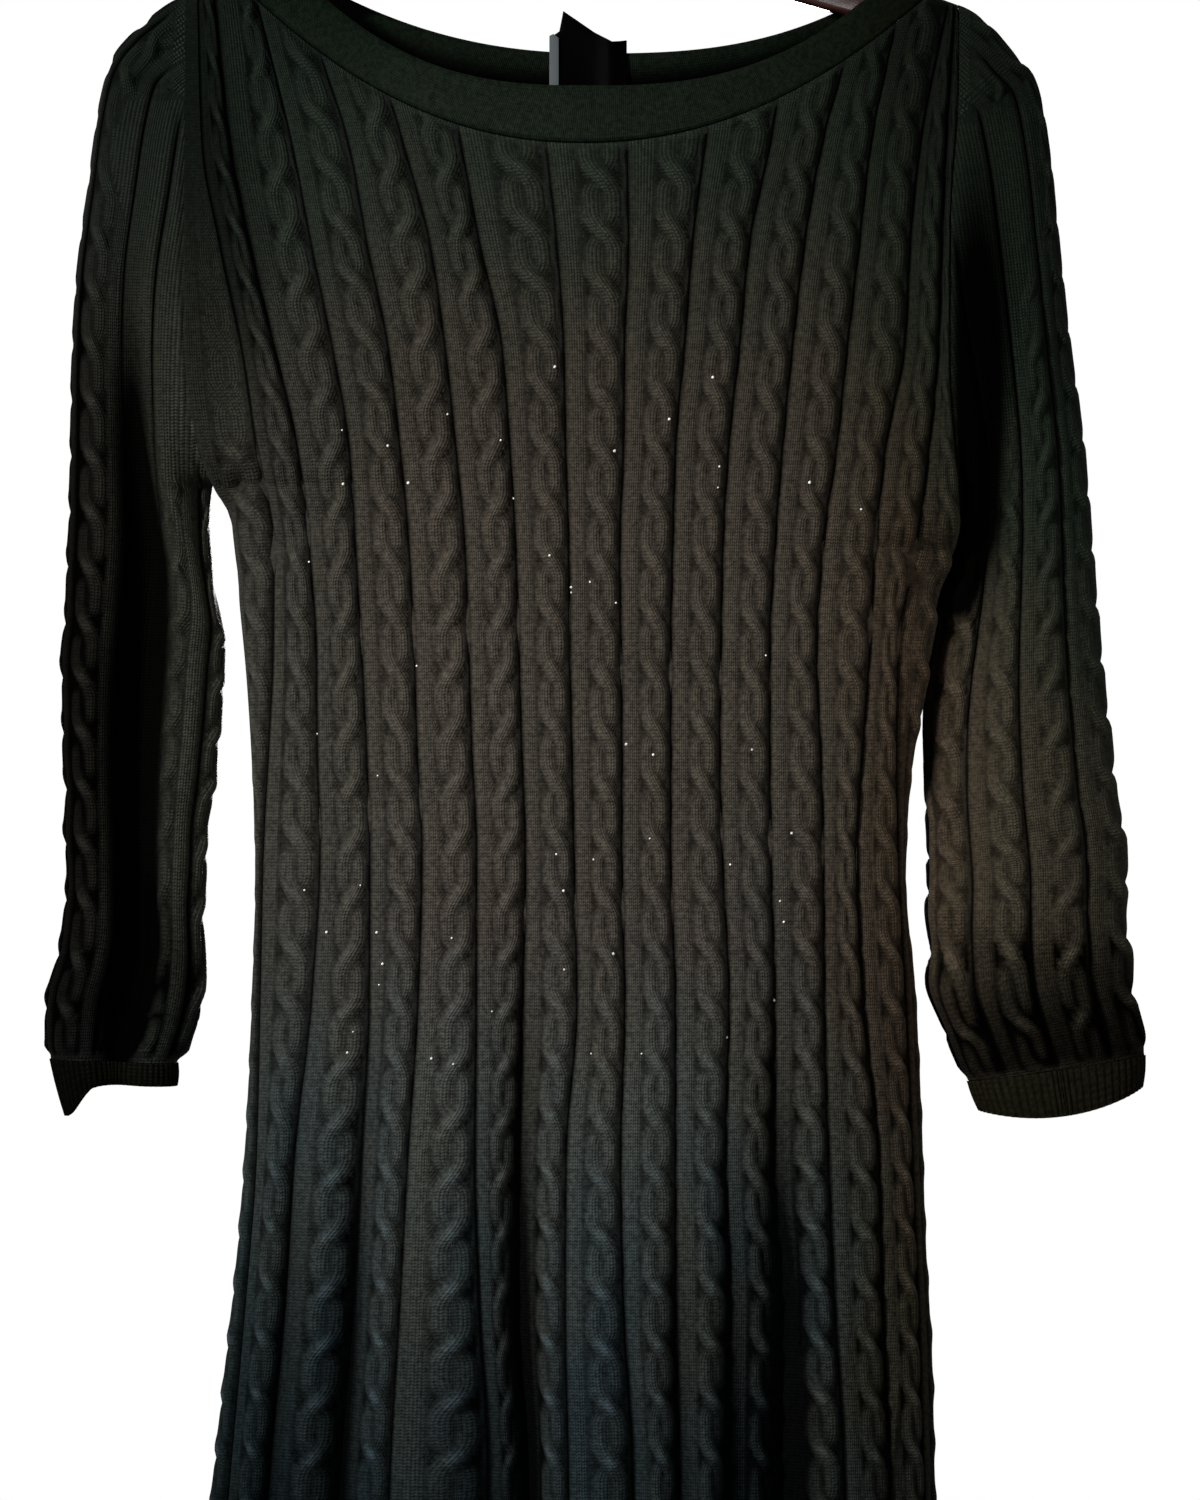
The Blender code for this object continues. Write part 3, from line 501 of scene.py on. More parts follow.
def smooth_curve(keys, values):
    """A function that follows a table smoothly, with no overshoot. The keys rise."""
    keys, values = np.asarray(keys, float), np.asarray(values, float)
    gaps = np.diff(keys)
    rises = np.diff(values) / gaps
    product = rises[1:] * rises[:-1]
    total = np.where(rises[1:] + rises[:-1] == 0, 1.0, rises[1:] + rises[:-1])
    slopes = np.concatenate([rises[:1], np.where(product > 0, 2 * product / total, 0.0), rises[-1:]])

    def at(key):
        key = np.clip(key, keys[0], keys[-1])
        low = np.clip(np.searchsorted(keys, key, side="right") - 1, 0, len(gaps) - 1)
        t = (key - keys[low]) / gaps[low]
        return (
            values[low] * (2 * t**3 - 3 * t**2 + 1)
            + slopes[low] * gaps[low] * (t**3 - 2 * t**2 + t)
            + values[low + 1] * (3 * t**2 - 2 * t**3)
            + slopes[low + 1] * gaps[low] * (t**3 - t**2)
        )

    return at


DOWN = [-row.z for row in SIDES]
OUTLINE = {name: smooth_curve(DOWN, [getattr(row, name) for row in SIDES]) for name in Side._fields[1:]}


def side(name, z):
    return OUTLINE[name](-z)


WAIST = -595.0
print("waist width:", round(float(side("right", WAIST) - side("left", WAIST))), "mm")

# %% [markdown]
# ## How the body hangs
#
# The hanger holds the cloth along one sloping line, so just below it the front and back are close
# together, and they part towards the chest. Round each armhole they come together again. Both are
# short formulas: a rounded step below the shoulder line, and a power curve down each armhole.

# %% Shoulders and armholes
SHOULDER_TOP, SHOULDER_SLOPE, HANG_TILT = -88.9, 0.345, 0.0157
SHOULDER_ROUND, CHEST_SPREAD = 12.0, 0.1
ARMHOLE_TOP = SIDES[0].z
ARMHOLE_POWER = 4
UNDERARM = {"left": -397.5, "right": -427.5}
HALF_GAP = 0.15


def shoulder_line(x):
    return SHOULDER_TOP - SHOULDER_SLOPE * np.abs(x) - HANG_TILT * x


def shoulder_round(drop):
    """Half the depth of the cloth, from the way down below the shoulder line."""
    top = np.clip(drop / SHOULDER_ROUND, 0.0, 1.0)
    rounded = SHOULDER_ROUND * np.sqrt(1.0 - (1.0 - top) ** 2)
    return rounded + CHEST_SPREAD * np.maximum(0.0, drop - SHOULDER_ROUND)


def armhole_depth(name, z):
    top = shoulder_line(side(name, ARMHOLE_TOP))
    share = np.clip((top - z) / (top - UNDERARM[name]), 0.0, 1.0)
    return np.maximum(HALF_GAP, shoulder_round(top - z) * np.sqrt(1.0 - share**ARMHOLE_POWER))


print("shoulder seams end at:", round(float(shoulder_line(side("left", ARMHOLE_TOP))), 1), "mm")

# %% [markdown]
# ## Depth and folds of the body
#
# Between its side seams each face bulges like a low arch, as deep as the table of the sides says. On
# the skirt the flare makes soft folds. Each fold is a trough in that depth. It follows one column
# of the knit, starts at its own height and grows towards the hem. A cloth simulation would make
# folds too, but it couldn't be told where to put them.

# %% Depth of the front and the back
LEVEL, HEM = -300.0, -1090.0
CROWN, FOLD_POWER = 2.4, 1.2
COLUMN_PACE, COLUMN_BEND, LAST_SHARE = 0.0867, 0.00075, 0.9998
Fold = namedtuple("Fold", "column start depth width")
FOLDS = {
    "front": [
        Fold(2.2, -640.0, 14.0, 1.00),
        Fold(4.8, -600.0, 24.0, 1.10),
        Fold(7.3, -700.0, 11.0, 0.95),
        Fold(9.8, -620.0, 20.0, 1.15),
    ],
    "back": [
        Fold(2.0, -650.0, 13.0, 1.00),
        Fold(4.0, -720.0, 12.0, 1.00),
        Fold(6.3, -610.0, 23.0, 1.10),
        Fold(8.5, -700.0, 12.0, 1.00),
        Fold(10.6, -640.0, 16.0, 1.05),
    ],
}


def mix(a, b, share):
    return a + (b - a) * share


def ease(share):
    share = np.clip(share, 0.0, 1.0)
    return share * share * (3.0 - 2.0 * share)


def fold_depth(face, column, z):
    total = np.zeros_like(z)
    for fold in FOLDS[face]:
        grown = np.maximum(0.0, (fold.start - z) / (fold.start - HEM)) ** FOLD_POWER
        total += fold.depth * grown * np.exp(-(((column - fold.column) / fold.width) ** 2))
    return total


def fold_column(x, z):
    """The column in which the folds are counted, from the place between the sides."""
    left, right = side("left", z), side("right", z)
    share = np.clip((x - left) / (right - left), 0.0, LAST_SHARE)
    return (COLUMN_PACE - np.sqrt(COLUMN_PACE**2 - 4 * COLUMN_BEND * share)) / (2 * COLUMN_BEND)


def panel_depth(face, x, z):
    """How far a face of the dress stands off the middle plane at a place in the front view."""
    left, right = side("left", z), side("right", z)
    share = np.clip((x - left) / (right - left), 0.0, 1.0)
    crown = np.maximum(0.0, 1.0 - np.abs(2.0 * share - 1.0) ** CROWN) ** (1.0 / CROWN)
    rim = np.where(share < 0.5, armhole_depth("left", z), armhole_depth("right", z))
    plain = rim + (side(face, z) - rim) * crown
    plain = plain - fold_depth(face, fold_column(x, z), z) * np.minimum(1.0, 2.0 * crown)
    return np.maximum(HALF_GAP, np.minimum(plain, shoulder_round(shoulder_line(x) - z)))


waist_depth = float(panel_depth("front", 0.0, np.array(WAIST)))
print("depth in front at the waist:", round(waist_depth, 1), "mm")

# %% [markdown]
# ## The neck
#
# The boat neck has two lines on each face: the seam, where the band is sewn on, and the band's own
# free edge. Both are wide shallow bowls that end on the shoulder line. A power of the distance from
# the middle draws such a bowl, and a higher power makes it flatter below and steeper at its ends.

# %% The neck
SEAM_CENTRE, SEAM_HALF = 3.0, 174.0
EDGE_CENTRE, EDGE_HALF = 6.0, 150.0
Neck = namedtuple("Neck", "seam_low seam_power edge_low edge_power lean")
NECKS = {"front": Neck(-230.0, 2.1, -200.8, 2.65, 0.0), "back": Neck(-207.0, 2.3, -178.8, 2.5, 0.07)}


def neck_seam(face, x):
    neck = NECKS[face]
    reach = (x - SEAM_CENTRE) / SEAM_HALF
    corner = shoulder_line(SEAM_CENTRE + np.copysign(SEAM_HALF, reach))
    return neck.seam_low + (corner - neck.seam_low) * np.minimum(1.0, np.abs(reach)) ** neck.seam_power


def neck_edge(face, x):
    neck = NECKS[face]
    reach = (x - EDGE_CENTRE) / EDGE_HALF
    reach = reach - neck.lean * (1.0 - reach * reach)
    corner = shoulder_line(EDGE_CENTRE + np.copysign(EDGE_HALF, reach))
    return neck.edge_low + (corner - neck.edge_low) * np.minimum(1.0, np.abs(reach)) ** neck.edge_power


print("neck seam, front and back:", [round(float(neck_seam(f, 3.0)), 1) for f in NECKS], "mm")

# %% [markdown]
# ## From columns and rows to places
#
# Fourteen grooves divide each panel into columns of knit. They fan out from the neck seam and the
# shoulder seams, run straight down to the waist and flare with the skirt, where the folds draw some
# of them together. A table holds where each groove passes at a few heights, and where it starts at
# the top. A place in the cloth is then a column and a row, and the depth comes from the plain form.

# %% The grooves of the knit, from left to right
GROOVE_TOPS = [-188.5, -180.5, -158.66, -126.9, -92.1, -58.4, -14.8]
GROOVE_TOPS += [25.4, 65.6, 100.3, 133.5, 159.13, 186.0, 188.8]
GROOVES = {
    -230: [-185.4, -171.1, -140.5, -112.4, -85.2, -58.1, -14.2, 25.8, 64.8, 96.4, 122.1, 146.3, 171.0, 183.5],
    -280: [-176.0, -160.8, -130.7, -103.0, -71.9, -47.2, -9.2, 26.3, 57.9, 86.0, 113.2, 140.3, 165.5, 181.0],
    -330: [-165.5, -148.9, -120.3, -92.7, -64.5, -36.4, -5.8, 24.3, 54.0, 81.1, 107.3, 134.4, 162.6, 179.1],
    -380: [-158.1, -137.6, -111.9, -86.7, -59.1, -32.4, -4.8, 23.8, 49.5, 75.7, 102.3, 129.0, 153.2, 174.6],
    -430: [-150.1, -132.1, -108.9, -82.3, -54.6, -29.5, -3.3, 21.9, 48.0, 72.7, 98.4, 122.1, 148.2, 168.6],
    -480: [-150.6, -128.7, -106.0, -79.8, -52.7, -28.0, -2.8, 22.4, 47.0, 71.7, 95.9, 119.1, 145.8, 160.6],
    -530: [-153.1, -128.2, -103.5, -78.3, -51.2, -26.5, -1.8, 22.9, 47.0, 71.2, 95.9, 121.1, 142.3, 159.7],
    -580: [-156.1, -126.9, -101.9, -75.9, -48.9, -24.8, -0.8, 22.8, 46.9, 72.4, 96.4, 122.5, 139.6, 160.7],
    -655: [-157.6, -131.3, -102.4, -77.8, -48.9, -26.3, 0.7, 24.3, 49.3, 75.8, 98.4, 122.9, 142.6, 164.2],
    -730: [-159.1, -140.2, -106.8, -82.7, -49.4, -28.3, -4.7, 22.3, 49.3, 74.3, 98.4, 124.9, 149.9, 167.1],
    -805: [-164.5, -145.6, -110.7, -86.7, -46.9, -29.2, -5.2, 23.8, 49.3, 77.3, 102.8, 127.9, 152.4, 170.1],
    -880: [-171.0, -152.9, -116.6, -91.1, -42.5, -25.8, -3.7, 28.2, 50.8, 77.3, 102.3, 132.3, 155.8, 172.1],
    -1090: [-187.9, -166.7, -129.4, -98.0, -44.0, -25.3, -1.7, 29.7, 52.3, 79.7, 106.3, 135.7, 162.2, 181.1],
}
COLUMNS = len(GROOVE_TOPS) + 1
ROOM_AT_TOP = 12.0


def top_height(face, x):
    """The height of a panel's top edge: the neck seam, or the shoulder seam beside it."""
    on_neck = np.abs(x - SEAM_CENTRE) <= SEAM_HALF
    return np.where(on_neck, neck_seam(face, x), shoulder_line(x))


def groove_curves(face):
    """For each groove, a function from its height to its X."""
    curves = [lambda z: side("left", z)]
    for n, top_x in enumerate(GROOVE_TOPS):
        top_z = float(top_height(face, np.array(top_x)))
        knots = [(z, xs[n]) for z, xs in GROOVES.items() if z < top_z - ROOM_AT_TOP]
        curves.append(smooth_in_z([(top_z, top_x), *knots]))
    curves.append(lambda z: side("right", z))
    return curves


def smooth_in_z(knots):
    curve = smooth_curve([-z for z, x in knots], [x for z, x in knots])
    return lambda z: curve(-z)


print("columns of knit:", COLUMNS)

# %% A panel's plain form
SIDE_BEND, BEND_ABOVE, BEND_OVER = 2.4, 40.0, 60.0
CROWD_FROM, CROWD_OVER, CROWD_POWER = 1.2, 2.8, 1.7


def panel_form(face, columns, top_rows, low_rows):
    """Points of a panel's plain form, one row of points for each height."""
    ends = np.array([side("left", ARMHOLE_TOP), *GROOVE_TOPS, side("right", ARMHOLE_TOP)])
    curves = groove_curves(face)
    numbers = np.arange(COLUMNS + 1)
    top_x = np.interp(columns, numbers, ends)
    at_edge = 1.0 - ease((np.minimum(columns, COLUMNS - columns) - CROWD_FROM) / CROWD_OVER)
    share = np.linspace(0.0, 1.0, top_rows + 1)[:, None] ** mix(1.0, CROWD_POWER, at_edge)
    upper_z = mix(top_height(face, top_x), LEVEL, share)
    lower_z = np.linspace(LEVEL, HEM, low_rows + 1)[1:, None] * np.ones_like(columns)
    z = np.concatenate([upper_z, lower_z])
    groove_z = np.stack([np.interp(numbers, columns, row) for row in z])
    groove_x = np.stack([curves[n](groove_z[:, n]) for n in numbers], axis=1)
    spread = np.stack([np.interp(columns, numbers, row) for row in groove_x])
    spread = bend_sides(spread, groove_x, columns, z)
    y = panel_depth(face, spread, z)
    return np.stack([spread, -y if face == "front" else y, z], axis=-1)


def bend_sides(x, groove_x, columns, z):
    """Moves the points of the outer columns outwards, because the cloth turns away there."""
    part_left = np.clip(columns, 0.0, 1.0)
    part_right = np.clip(COLUMNS - columns, 0.0, 1.0)
    low_left = ease((UNDERARM["left"] + BEND_ABOVE - z) / BEND_OVER)
    low_right = ease((UNDERARM["right"] + BEND_ABOVE - z) / BEND_OVER)
    shift_left = (part_left**SIDE_BEND - part_left) * low_left
    shift_right = (part_right**SIDE_BEND - part_right) * low_right
    x = x + shift_left * (groove_x[:, 1:2] - groove_x[:, :1])
    return x + shift_right * (groove_x[:, -2:-1] - groove_x[:, -1:])


probe = panel_form("front", np.arange(COLUMNS + 1.0), 2, 4)
print("first point of the front:", probe[0, 0].round(1), "mm")

# %% [markdown]
# ## A rope of stitches
#
# A cable is two strands that cross at the same side every repeat. Over a crossing the front strand
# runs aslant and stands high, while the other one dips behind it. Between crossings both lie side
# by side. Seen straight on, each crossing shows as one leaf. The function gives the height of
# the knit, and how far a point is from the middle of its own strand, which steers the stitches.

# %% A rope of stitches
SWING_SHARE, SWING_REACH = 0.36, 0.48
CROSS_SHARE, CROSS_LIFT, CROSS_DIP, CROSS_SPREAD = 0.21, 0.50, 0.52, 0.06
STRAND_HIGH, TOP_STRAND, LOW_STRAND = 0.66, 0.50, 0.48


def strand(distance, width):
    return np.sqrt(np.maximum(0.0, 1.0 - (distance / width) ** 2))


def rope(across, along):
    """Height of a two-strand cable, and the distance from the middle of the strand on top."""
    turn = along - np.round(along)
    swing = np.clip(turn / SWING_SHARE, -1.0, 1.0)
    front = SWING_REACH * swing * (1.5 - 0.5 * swing * swing)
    over = np.exp(-((turn / CROSS_SHARE) ** 2))
    high = (STRAND_HIGH + CROSS_LIFT * over) * strand(across - front, TOP_STRAND + CROSS_SPREAD * over)
    low = (STRAND_HIGH - CROSS_DIP * over) * strand(across + front, LOW_STRAND)
    return np.maximum(high, low), np.where(high >= low, across - front, across + front)


heights = rope(np.zeros(3), np.array([0.0, 0.25, 0.5]))[0]
print("height over a crossing, beside it and between two:", heights.round(2))

# %% [markdown]
# ## The relief of one column
#
# From left to right a column of this knit has a groove, three plain wales and a cable. Shares of
# the column's width say where each begins. The relief, the count of wales and the shade all come
# from the same place in the column, so they can't drift apart. The shade is painted into an
# attribute: deep in the grooves, softer beside the ropes, and less than nothing, a painted
# highlight, on the crests of the cables.

# %% Relief of the knit
REPEAT, STITCH_HIGH, FULL_WIDTH = 27.5, 1.6, 19.0
CABLE_FROM, CABLE_TO, CABLE_EDGE, CABLE_SOFT = 0.34, 0.95, 1.06, 0.12
WALES_FROM, WALES_TO, WALES_SOFT, WALES = 0.06, 0.31, 0.04, 3.0
STRAND_WALES = 1.5 / 0.55
COLUMN_LIFT, WALE_LIFT, CABLE_LIFT = 0.9, 0.45, 3.1
CROWN_SQUARE = 6
GROOVE_DEPTH, GROOVE_REACH, GROOVE_DARK_REACH = 1.1, 0.9, 1.26
RIGHT_LEANING = (2, 4, 5)
DRIFT, DRIFT_PACE = 0.07, 2.4
GAP_SHADE, GROOVE_SHADE, PLAIN_SHADE, PLAIN_UNDER, GAP_UNDER = 0.50, 0.97, 0.16, 1.4, 0.62
CREST_FROM, CREST_OVER = 0.94, 0.22


def column_parts(form, columns):
    """For each point, its place across its own column by the length of the cloth, and the column's width."""
    steps = np.linalg.norm(np.diff(form, axis=1), axis=-1)
    along = np.concatenate([np.zeros((len(form), 1)), np.cumsum(steps, axis=1)], axis=1)
    whole = np.minimum(np.floor(columns + 1e-9), np.floor(columns[-1]) - 1).astype(int)
    starts = [int(np.argmin(np.abs(columns - n))) for n in range(int(round(columns[-1])) + 1)]
    edges = along[:, starts]
    wide = np.maximum(0.01, edges[:, whole + 1] - edges[:, whole])
    return (along - edges[:, whole]) / wide, wide, whole


def knit_relief(part, wide, whole, length, keep=1.0):
    """Height in mm over the plain form, the wale count, and the painted shade, below 0 for a painted
    highlight on the crests.
    """
    across = (part - (CABLE_FROM + CABLE_TO) / 2) / ((CABLE_TO - CABLE_FROM) / 2)
    turned = np.where(np.isin(whole, RIGHT_LEANING), -across, across)
    ropes, offset = rope(turned, length / REPEAT + DRIFT * np.sin(whole * DRIFT_PACE))
    in_cable = ease((CABLE_EDGE - np.abs(across)) / CABLE_SOFT) * keep
    in_wales = ease((part - WALES_FROM) / WALES_SOFT) * ease((WALES_TO - part) / WALES_SOFT) * keep
    crown = 1.0 - np.abs(2.0 * part - 1.0) ** CROWN_SQUARE
    height = COLUMN_LIFT * crown + in_wales * WALE_LIFT + in_cable * CABLE_LIFT * ropes
    gap = np.minimum(part, 1.0 - part) * wide
    height = height * np.minimum(1.0, wide / FULL_WIDTH) - GROOVE_DEPTH * np.exp(-((gap / GROOVE_REACH) ** 2))
    wale = (part - WALES_FROM) / (WALES_TO - WALES_FROM) * WALES
    count = np.where(np.abs(across) < 1.0, offset * STRAND_WALES, wale)
    low_spots = in_cable * np.clip(1.0 - ropes / GAP_UNDER, 0.0, 1.0)
    shade = PLAIN_SHADE * np.clip(PLAIN_UNDER - ropes * in_cable, 0.0, 1.0) + GAP_SHADE * low_spots
    shade = np.maximum(shade, GROOVE_SHADE * np.exp(-((gap / GROOVE_DARK_REACH) ** 2)))
    crest = in_cable * np.clip((ropes - CREST_FROM) / CREST_OVER, 0.0, 1.0)
    return height, count, shade - crest


print("stitches in a repeat of the cable:", round(REPEAT / STITCH_HIGH))

# %% [markdown]
# ## Shells of cloth
#
# Each piece is a closed shell: a fine grid outside, a coarse one inside, and a rim between them.
# A Solidify modifier would be simpler, but it would double the fine grid, and the inside of knit is
# plain. So two grids are made with create_grid and their points are put in place. Their edges are
# sewn together by a short loop, because one coarse edge meets several fine ones, and bridge_loops
# would have to guess which. On a tube, weld_verts first joins each grid's last column to its first.

# %% Making a shell from an outer and an inner sheet
WALL = 1.5
THIN_DOWN, THIN_ACROSS, SLEEVE_THIN_ACROSS = 6, 3, 2
INSIDE_SHADE = 0.35
SHARP_ANGLE = 50.0
COLUMN_STEPS = [0.0, 0.035, 0.085, 0.15, 0.21, 0.275, 0.34, 0.405]
COLUMN_STEPS += [0.435, 0.50, 0.565, 0.635, 0.70, 0.77, 0.84, 0.91, 0.965]


def knit_columns(number):
    """Places across the knit, closest together at the grooves."""
    return np.array([n + step for n in range(number) for step in COLUMN_STEPS] + [float(number)])


def outward(points, wrap=False):
    """Unit normals of a grid of points, from its own neighbours."""
    if wrap:
        ring = np.concatenate([points[:, -2:-1], points, points[:, 1:2]], axis=1)
        across = ring[:, 2:] - ring[:, :-2]
    else:
        across = np.gradient(points, axis=1)
    down = np.gradient(points, axis=0)
    normal = np.cross(across, down)
    return normal / np.maximum(1e-9, np.linalg.norm(normal, axis=-1, keepdims=True))


def lay_grid(bm, points, uv=None, painted_shade=None):
    """Adds a grid to bm and puts its points in place, with their wale counts and painted shade."""
    rows, columns = points.shape[:2]
    count_layer = bm.loops.layers.uv.get("knit") or bm.loops.layers.uv.new("knit")
    painted_shade_layer = bm.verts.layers.float.get("painted_shade") or bm.verts.layers.float.new("painted_shade")
    made = bmesh.ops.create_grid(bm, x_segments=columns - 1, y_segments=rows - 1, size=1.0)["verts"]
    spots = (points.reshape(-1, 3) * MM).tolist()
    uvs = (np.zeros((rows * columns, 2)) if uv is None else uv.reshape(-1, 2)).tolist()
    depths = (np.zeros(rows * columns) if painted_shade is None else painted_shade.reshape(-1)).tolist()
    for vertex, spot, depth, wales in zip(made, spots, depths, uvs):
        vertex.co = spot
        vertex[painted_shade_layer] = depth
        for loop in vertex.link_loops:
            loop[count_layer].uv = wales
    return made, (rows, columns)


def grid_line(made, shape, row=None, column=None):
    """The points of one row or one column of a grid."""
    rows, columns = shape
    if row is not None:
        start = (row % rows) * columns
        return made[start : start + columns]
    return made[column % columns :: columns]


def sew_rim(bm, fine, coarse, step):
    """Closes the gap between a fine edge and a coarse one, with one face for each coarse step."""
    for n in range(len(coarse) - 1):
        bm.faces.new([*fine[n * step : (n + 1) * step + 1], coarse[n + 1], coarse[n]])


def finish_piece(bm, name, material):
    """Makes the finished object, on the part's one body."""
    bmesh.ops.recalc_face_normals(bm, faces=bm.faces)
    mesh = bpy.data.meshes.new(name)
    bm.to_mesh(mesh)
    bm.free()
    mesh.shade_smooth()
    mesh.set_sharp_from_angle(angle=math.radians(SHARP_ANGLE))
    mesh.materials.append(material)
    piece = bpy.data.objects.new(name, mesh)
    bpy.context.scene.collection.objects.link(piece)
    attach(piece, "root")
    return piece


def weld_seam(bm, made, shape):
    """Joins the last column of a grid to the first, and returns the points with the joined ones in place."""
    rows, columns = shape
    starts = grid_line(made, shape, column=0)
    bmesh.ops.weld_verts(bm, targetmap=dict(zip(grid_line(made, shape, column=-1), starts)))
    return [made[n] if n % columns < columns - 1 else starts[n // columns] for n in range(rows * columns)]


def make_shell(name, outer, inner, uv, painted_shade, material, tube=False):
    bm = bmesh.new()
    outside, shape = lay_grid(bm, outer, uv, painted_shade)
    inside, inner_shape = lay_grid(bm, inner, None, np.full(inner.shape[:2], INSIDE_SHADE))
    if tube:
        outside, inside = weld_seam(bm, outside, shape), weld_seam(bm, inside, inner_shape)
    down, across = ((fine - 1) // (coarse - 1) for fine, coarse in zip(shape, inner_shape))
    for end in (0, -1):
        inner_line = grid_line(inside, inner_shape, row=end)
        sew_rim(bm, grid_line(outside, shape, row=end), inner_line, across)
        if not tube:
            inner_line = grid_line(inside, inner_shape, column=end)
            sew_rim(bm, grid_line(outside, shape, column=end), inner_line, down)
    piece = finish_piece(bm, name, material)
    print(name, "triangles:", sum(p.loop_total - 2 for p in piece.data.polygons))
    return piece


print("points across a column of knit:", len(COLUMN_STEPS))

# %% [markdown]
# ## Creases
#
# On top of the big folds lie a few listed creases: short pulls at the underarms and slack
# under the bust and at the waist. They differ in length, in depth and in spacing, because cloth
# never repeats itself. Each is a soft bump, long one way and narrow the other, turned by its slant.

# %% Creases of the body
Crease = namedtuple("Crease", "x z slant length width depth")
CREASES = {
    "front": [
        Crease(-172.0, -408.0, 58.0, 30.0, 5.0, -3.0),
        Crease(-150.0, -432.0, 35.0, 34.0, 7.0, -2.2),
        Crease(168.0, -440.0, -50.0, 36.0, 6.0, -2.6),
        Crease(150.0, -470.0, -30.0, 30.0, 8.0, -1.8),
        Crease(-60.0, -470.0, 6.0, 60.0, 12.0, -1.6),
        Crease(48.0, -492.0, -8.0, 52.0, 10.0, -1.4),
        Crease(-98.0, -560.0, 12.0, 42.0, 9.0, -1.5),
        Crease(100.0, -575.0, -14.0, 46.0, 9.0, -1.6),
        Crease(10.0, -610.0, 3.0, 64.0, 11.0, -1.3),
        Crease(157.0, -872.0, 86.0, 42.0, 1.8, 1.8),
    ],
    "back": [
        Crease(-166.0, -415.0, 52.0, 32.0, 6.0, -2.8),
        Crease(170.0, -446.0, -48.0, 34.0, 6.0, -2.6),
        Crease(-40.0, -455.0, -7.0, 58.0, 12.0, -1.8),
        Crease(70.0, -520.0, 9.0, 50.0, 10.0, -1.5),
        Crease(-110.0, -585.0, 14.0, 40.0, 8.0, -1.7),
        Crease(96.0, -600.0, -12.0, 44.0, 9.0, -1.4),
        Crease(0.0, -560.0, -3.0, 70.0, 13.0, -1.6),
    ],
}


def crease_relief(face, points):
    total = np.zeros(points.shape[:2])
    for crease in CREASES[face]:
        turn = math.radians(crease.slant)
        dx, dz = points[..., 0] - crease.x, points[..., 2] - crease.z
        along = dx * math.cos(turn) + dz * math.sin(turn)
        across = dz * math.cos(turn) - dx * math.sin(turn)
        total += crease.depth * np.exp(-((along / crease.length) ** 2) - (across / crease.width) ** 2)
    return total


print("creases:", {face: len(rows) for face, rows in CREASES.items()})

# %% [markdown]
# ## Patches of shade
#
# Where the cloth turns away from the light or lies under an arm, dark wool looks almost black. The
# lamps alone leave these places too bright, because soft light creeps round. So a few wide patches
# of painted shade deepen the painted shade attribute there. The fourth power in the exponent gives
# them a flat middle.

# %% Patches of shade
Shadow = namedtuple("Shadow", "x z wide high dark")
SHADOWS = {
    "front": [Shadow(-195.0, -290.0, 42.0, 130.0, 0.50), Shadow(152.0, -850.0, 58.0, 270.0, 0.26)],
    "back": [Shadow(-195.0, -290.0, 42.0, 130.0, 0.40)],
    "left": [Shadow(-258.0, -520.0, 28.0, 260.0, 0.70), Shadow(-200.0, -660.0, 30.0, 50.0, 0.40)],
    "right": [
        Shadow(199.0, -342.0, 17.0, 98.0, 0.97),
        Shadow(193.0, -441.0, 10.0, 24.0, 0.85),
        Shadow(245.0, -708.0, 120.0, 85.0, 0.76),
    ],
}


def shadow_share(name, points):
    """How dark the soft patches make each point."""
    total = np.zeros(points.shape[:2])
    for patch in SHADOWS[name]:
        away = ((points[..., 0] - patch.x) / patch.wide) ** 2 + ((points[..., 2] - patch.z) / patch.high) ** 2
        total += patch.dark * np.exp(-(away**2))
    return total


print("patches of shade:", {name: len(rows) for name, rows in SHADOWS.items()})

# %% [markdown]
# ## Folds along the grooves
#
# Knit bends most easily at its grooves, so on the skirt some of them sink into sharp narrow folds.
# Each follows one groove, starts at its own height and is full after 290 mm.

# %% Folds along the grooves
FOLD_GROWS = 290.0
GrooveFold = namedtuple("GrooveFold", "column start depth width")
GROOVE_FOLDS = {
    "front": [
        GrooveFold(2.0, -600.0, 6.0, 0.36),
        GrooveFold(3.0, -560.0, 7.5, 0.34),
        GrooveFold(5.0, -620.0, 4.0, 0.32),
        GrooveFold(6.0, -540.0, 9.0, 0.42),
        GrooveFold(8.0, -640.0, 3.5, 0.30),
        GrooveFold(9.0, -620.0, 6.5, 0.38),
        GrooveFold(10.0, -600.0, 7.5, 0.40),
        GrooveFold(11.0, -560.0, 9.0, 0.46),
        GrooveFold(13.0, -700.0, 4.0, 0.45),
    ],
    "back": [
        GrooveFold(2.0, -640.0, 4.0, 0.45),
        GrooveFold(5.0, -620.0, 6.0, 0.50),
        GrooveFold(7.5, -590.0, 7.0, 0.55),
        GrooveFold(10.0, -680.0, 5.0, 0.45),
        GrooveFold(12.0, -600.0, 5.0, 0.50),
    ],
}


def groove_fold_depth(face, column, z):
    """How far the cloth goes in where a fold follows a groove."""
    total = np.zeros(z.shape)
    for fold in GROOVE_FOLDS[face]:
        grown = ease((fold.start - z) / FOLD_GROWS)
        total += fold.depth * grown * np.exp(-(((column - fold.column) / fold.width) ** 2))
    return total


print("folds along grooves:", {face: len(rows) for face, rows in GROOVE_FOLDS.items()})

# %% [markdown]
# ## Front and back
#
# The panels meet the neckband, the sleeves and each other at flat seams, so the relief dies away in
# the last few millimetres before an edge. The first column on the left stays plain above the
# underarm, where the cloth is drawn tight. The folds also go through to the inside, so that the
# wall keeps its thickness.

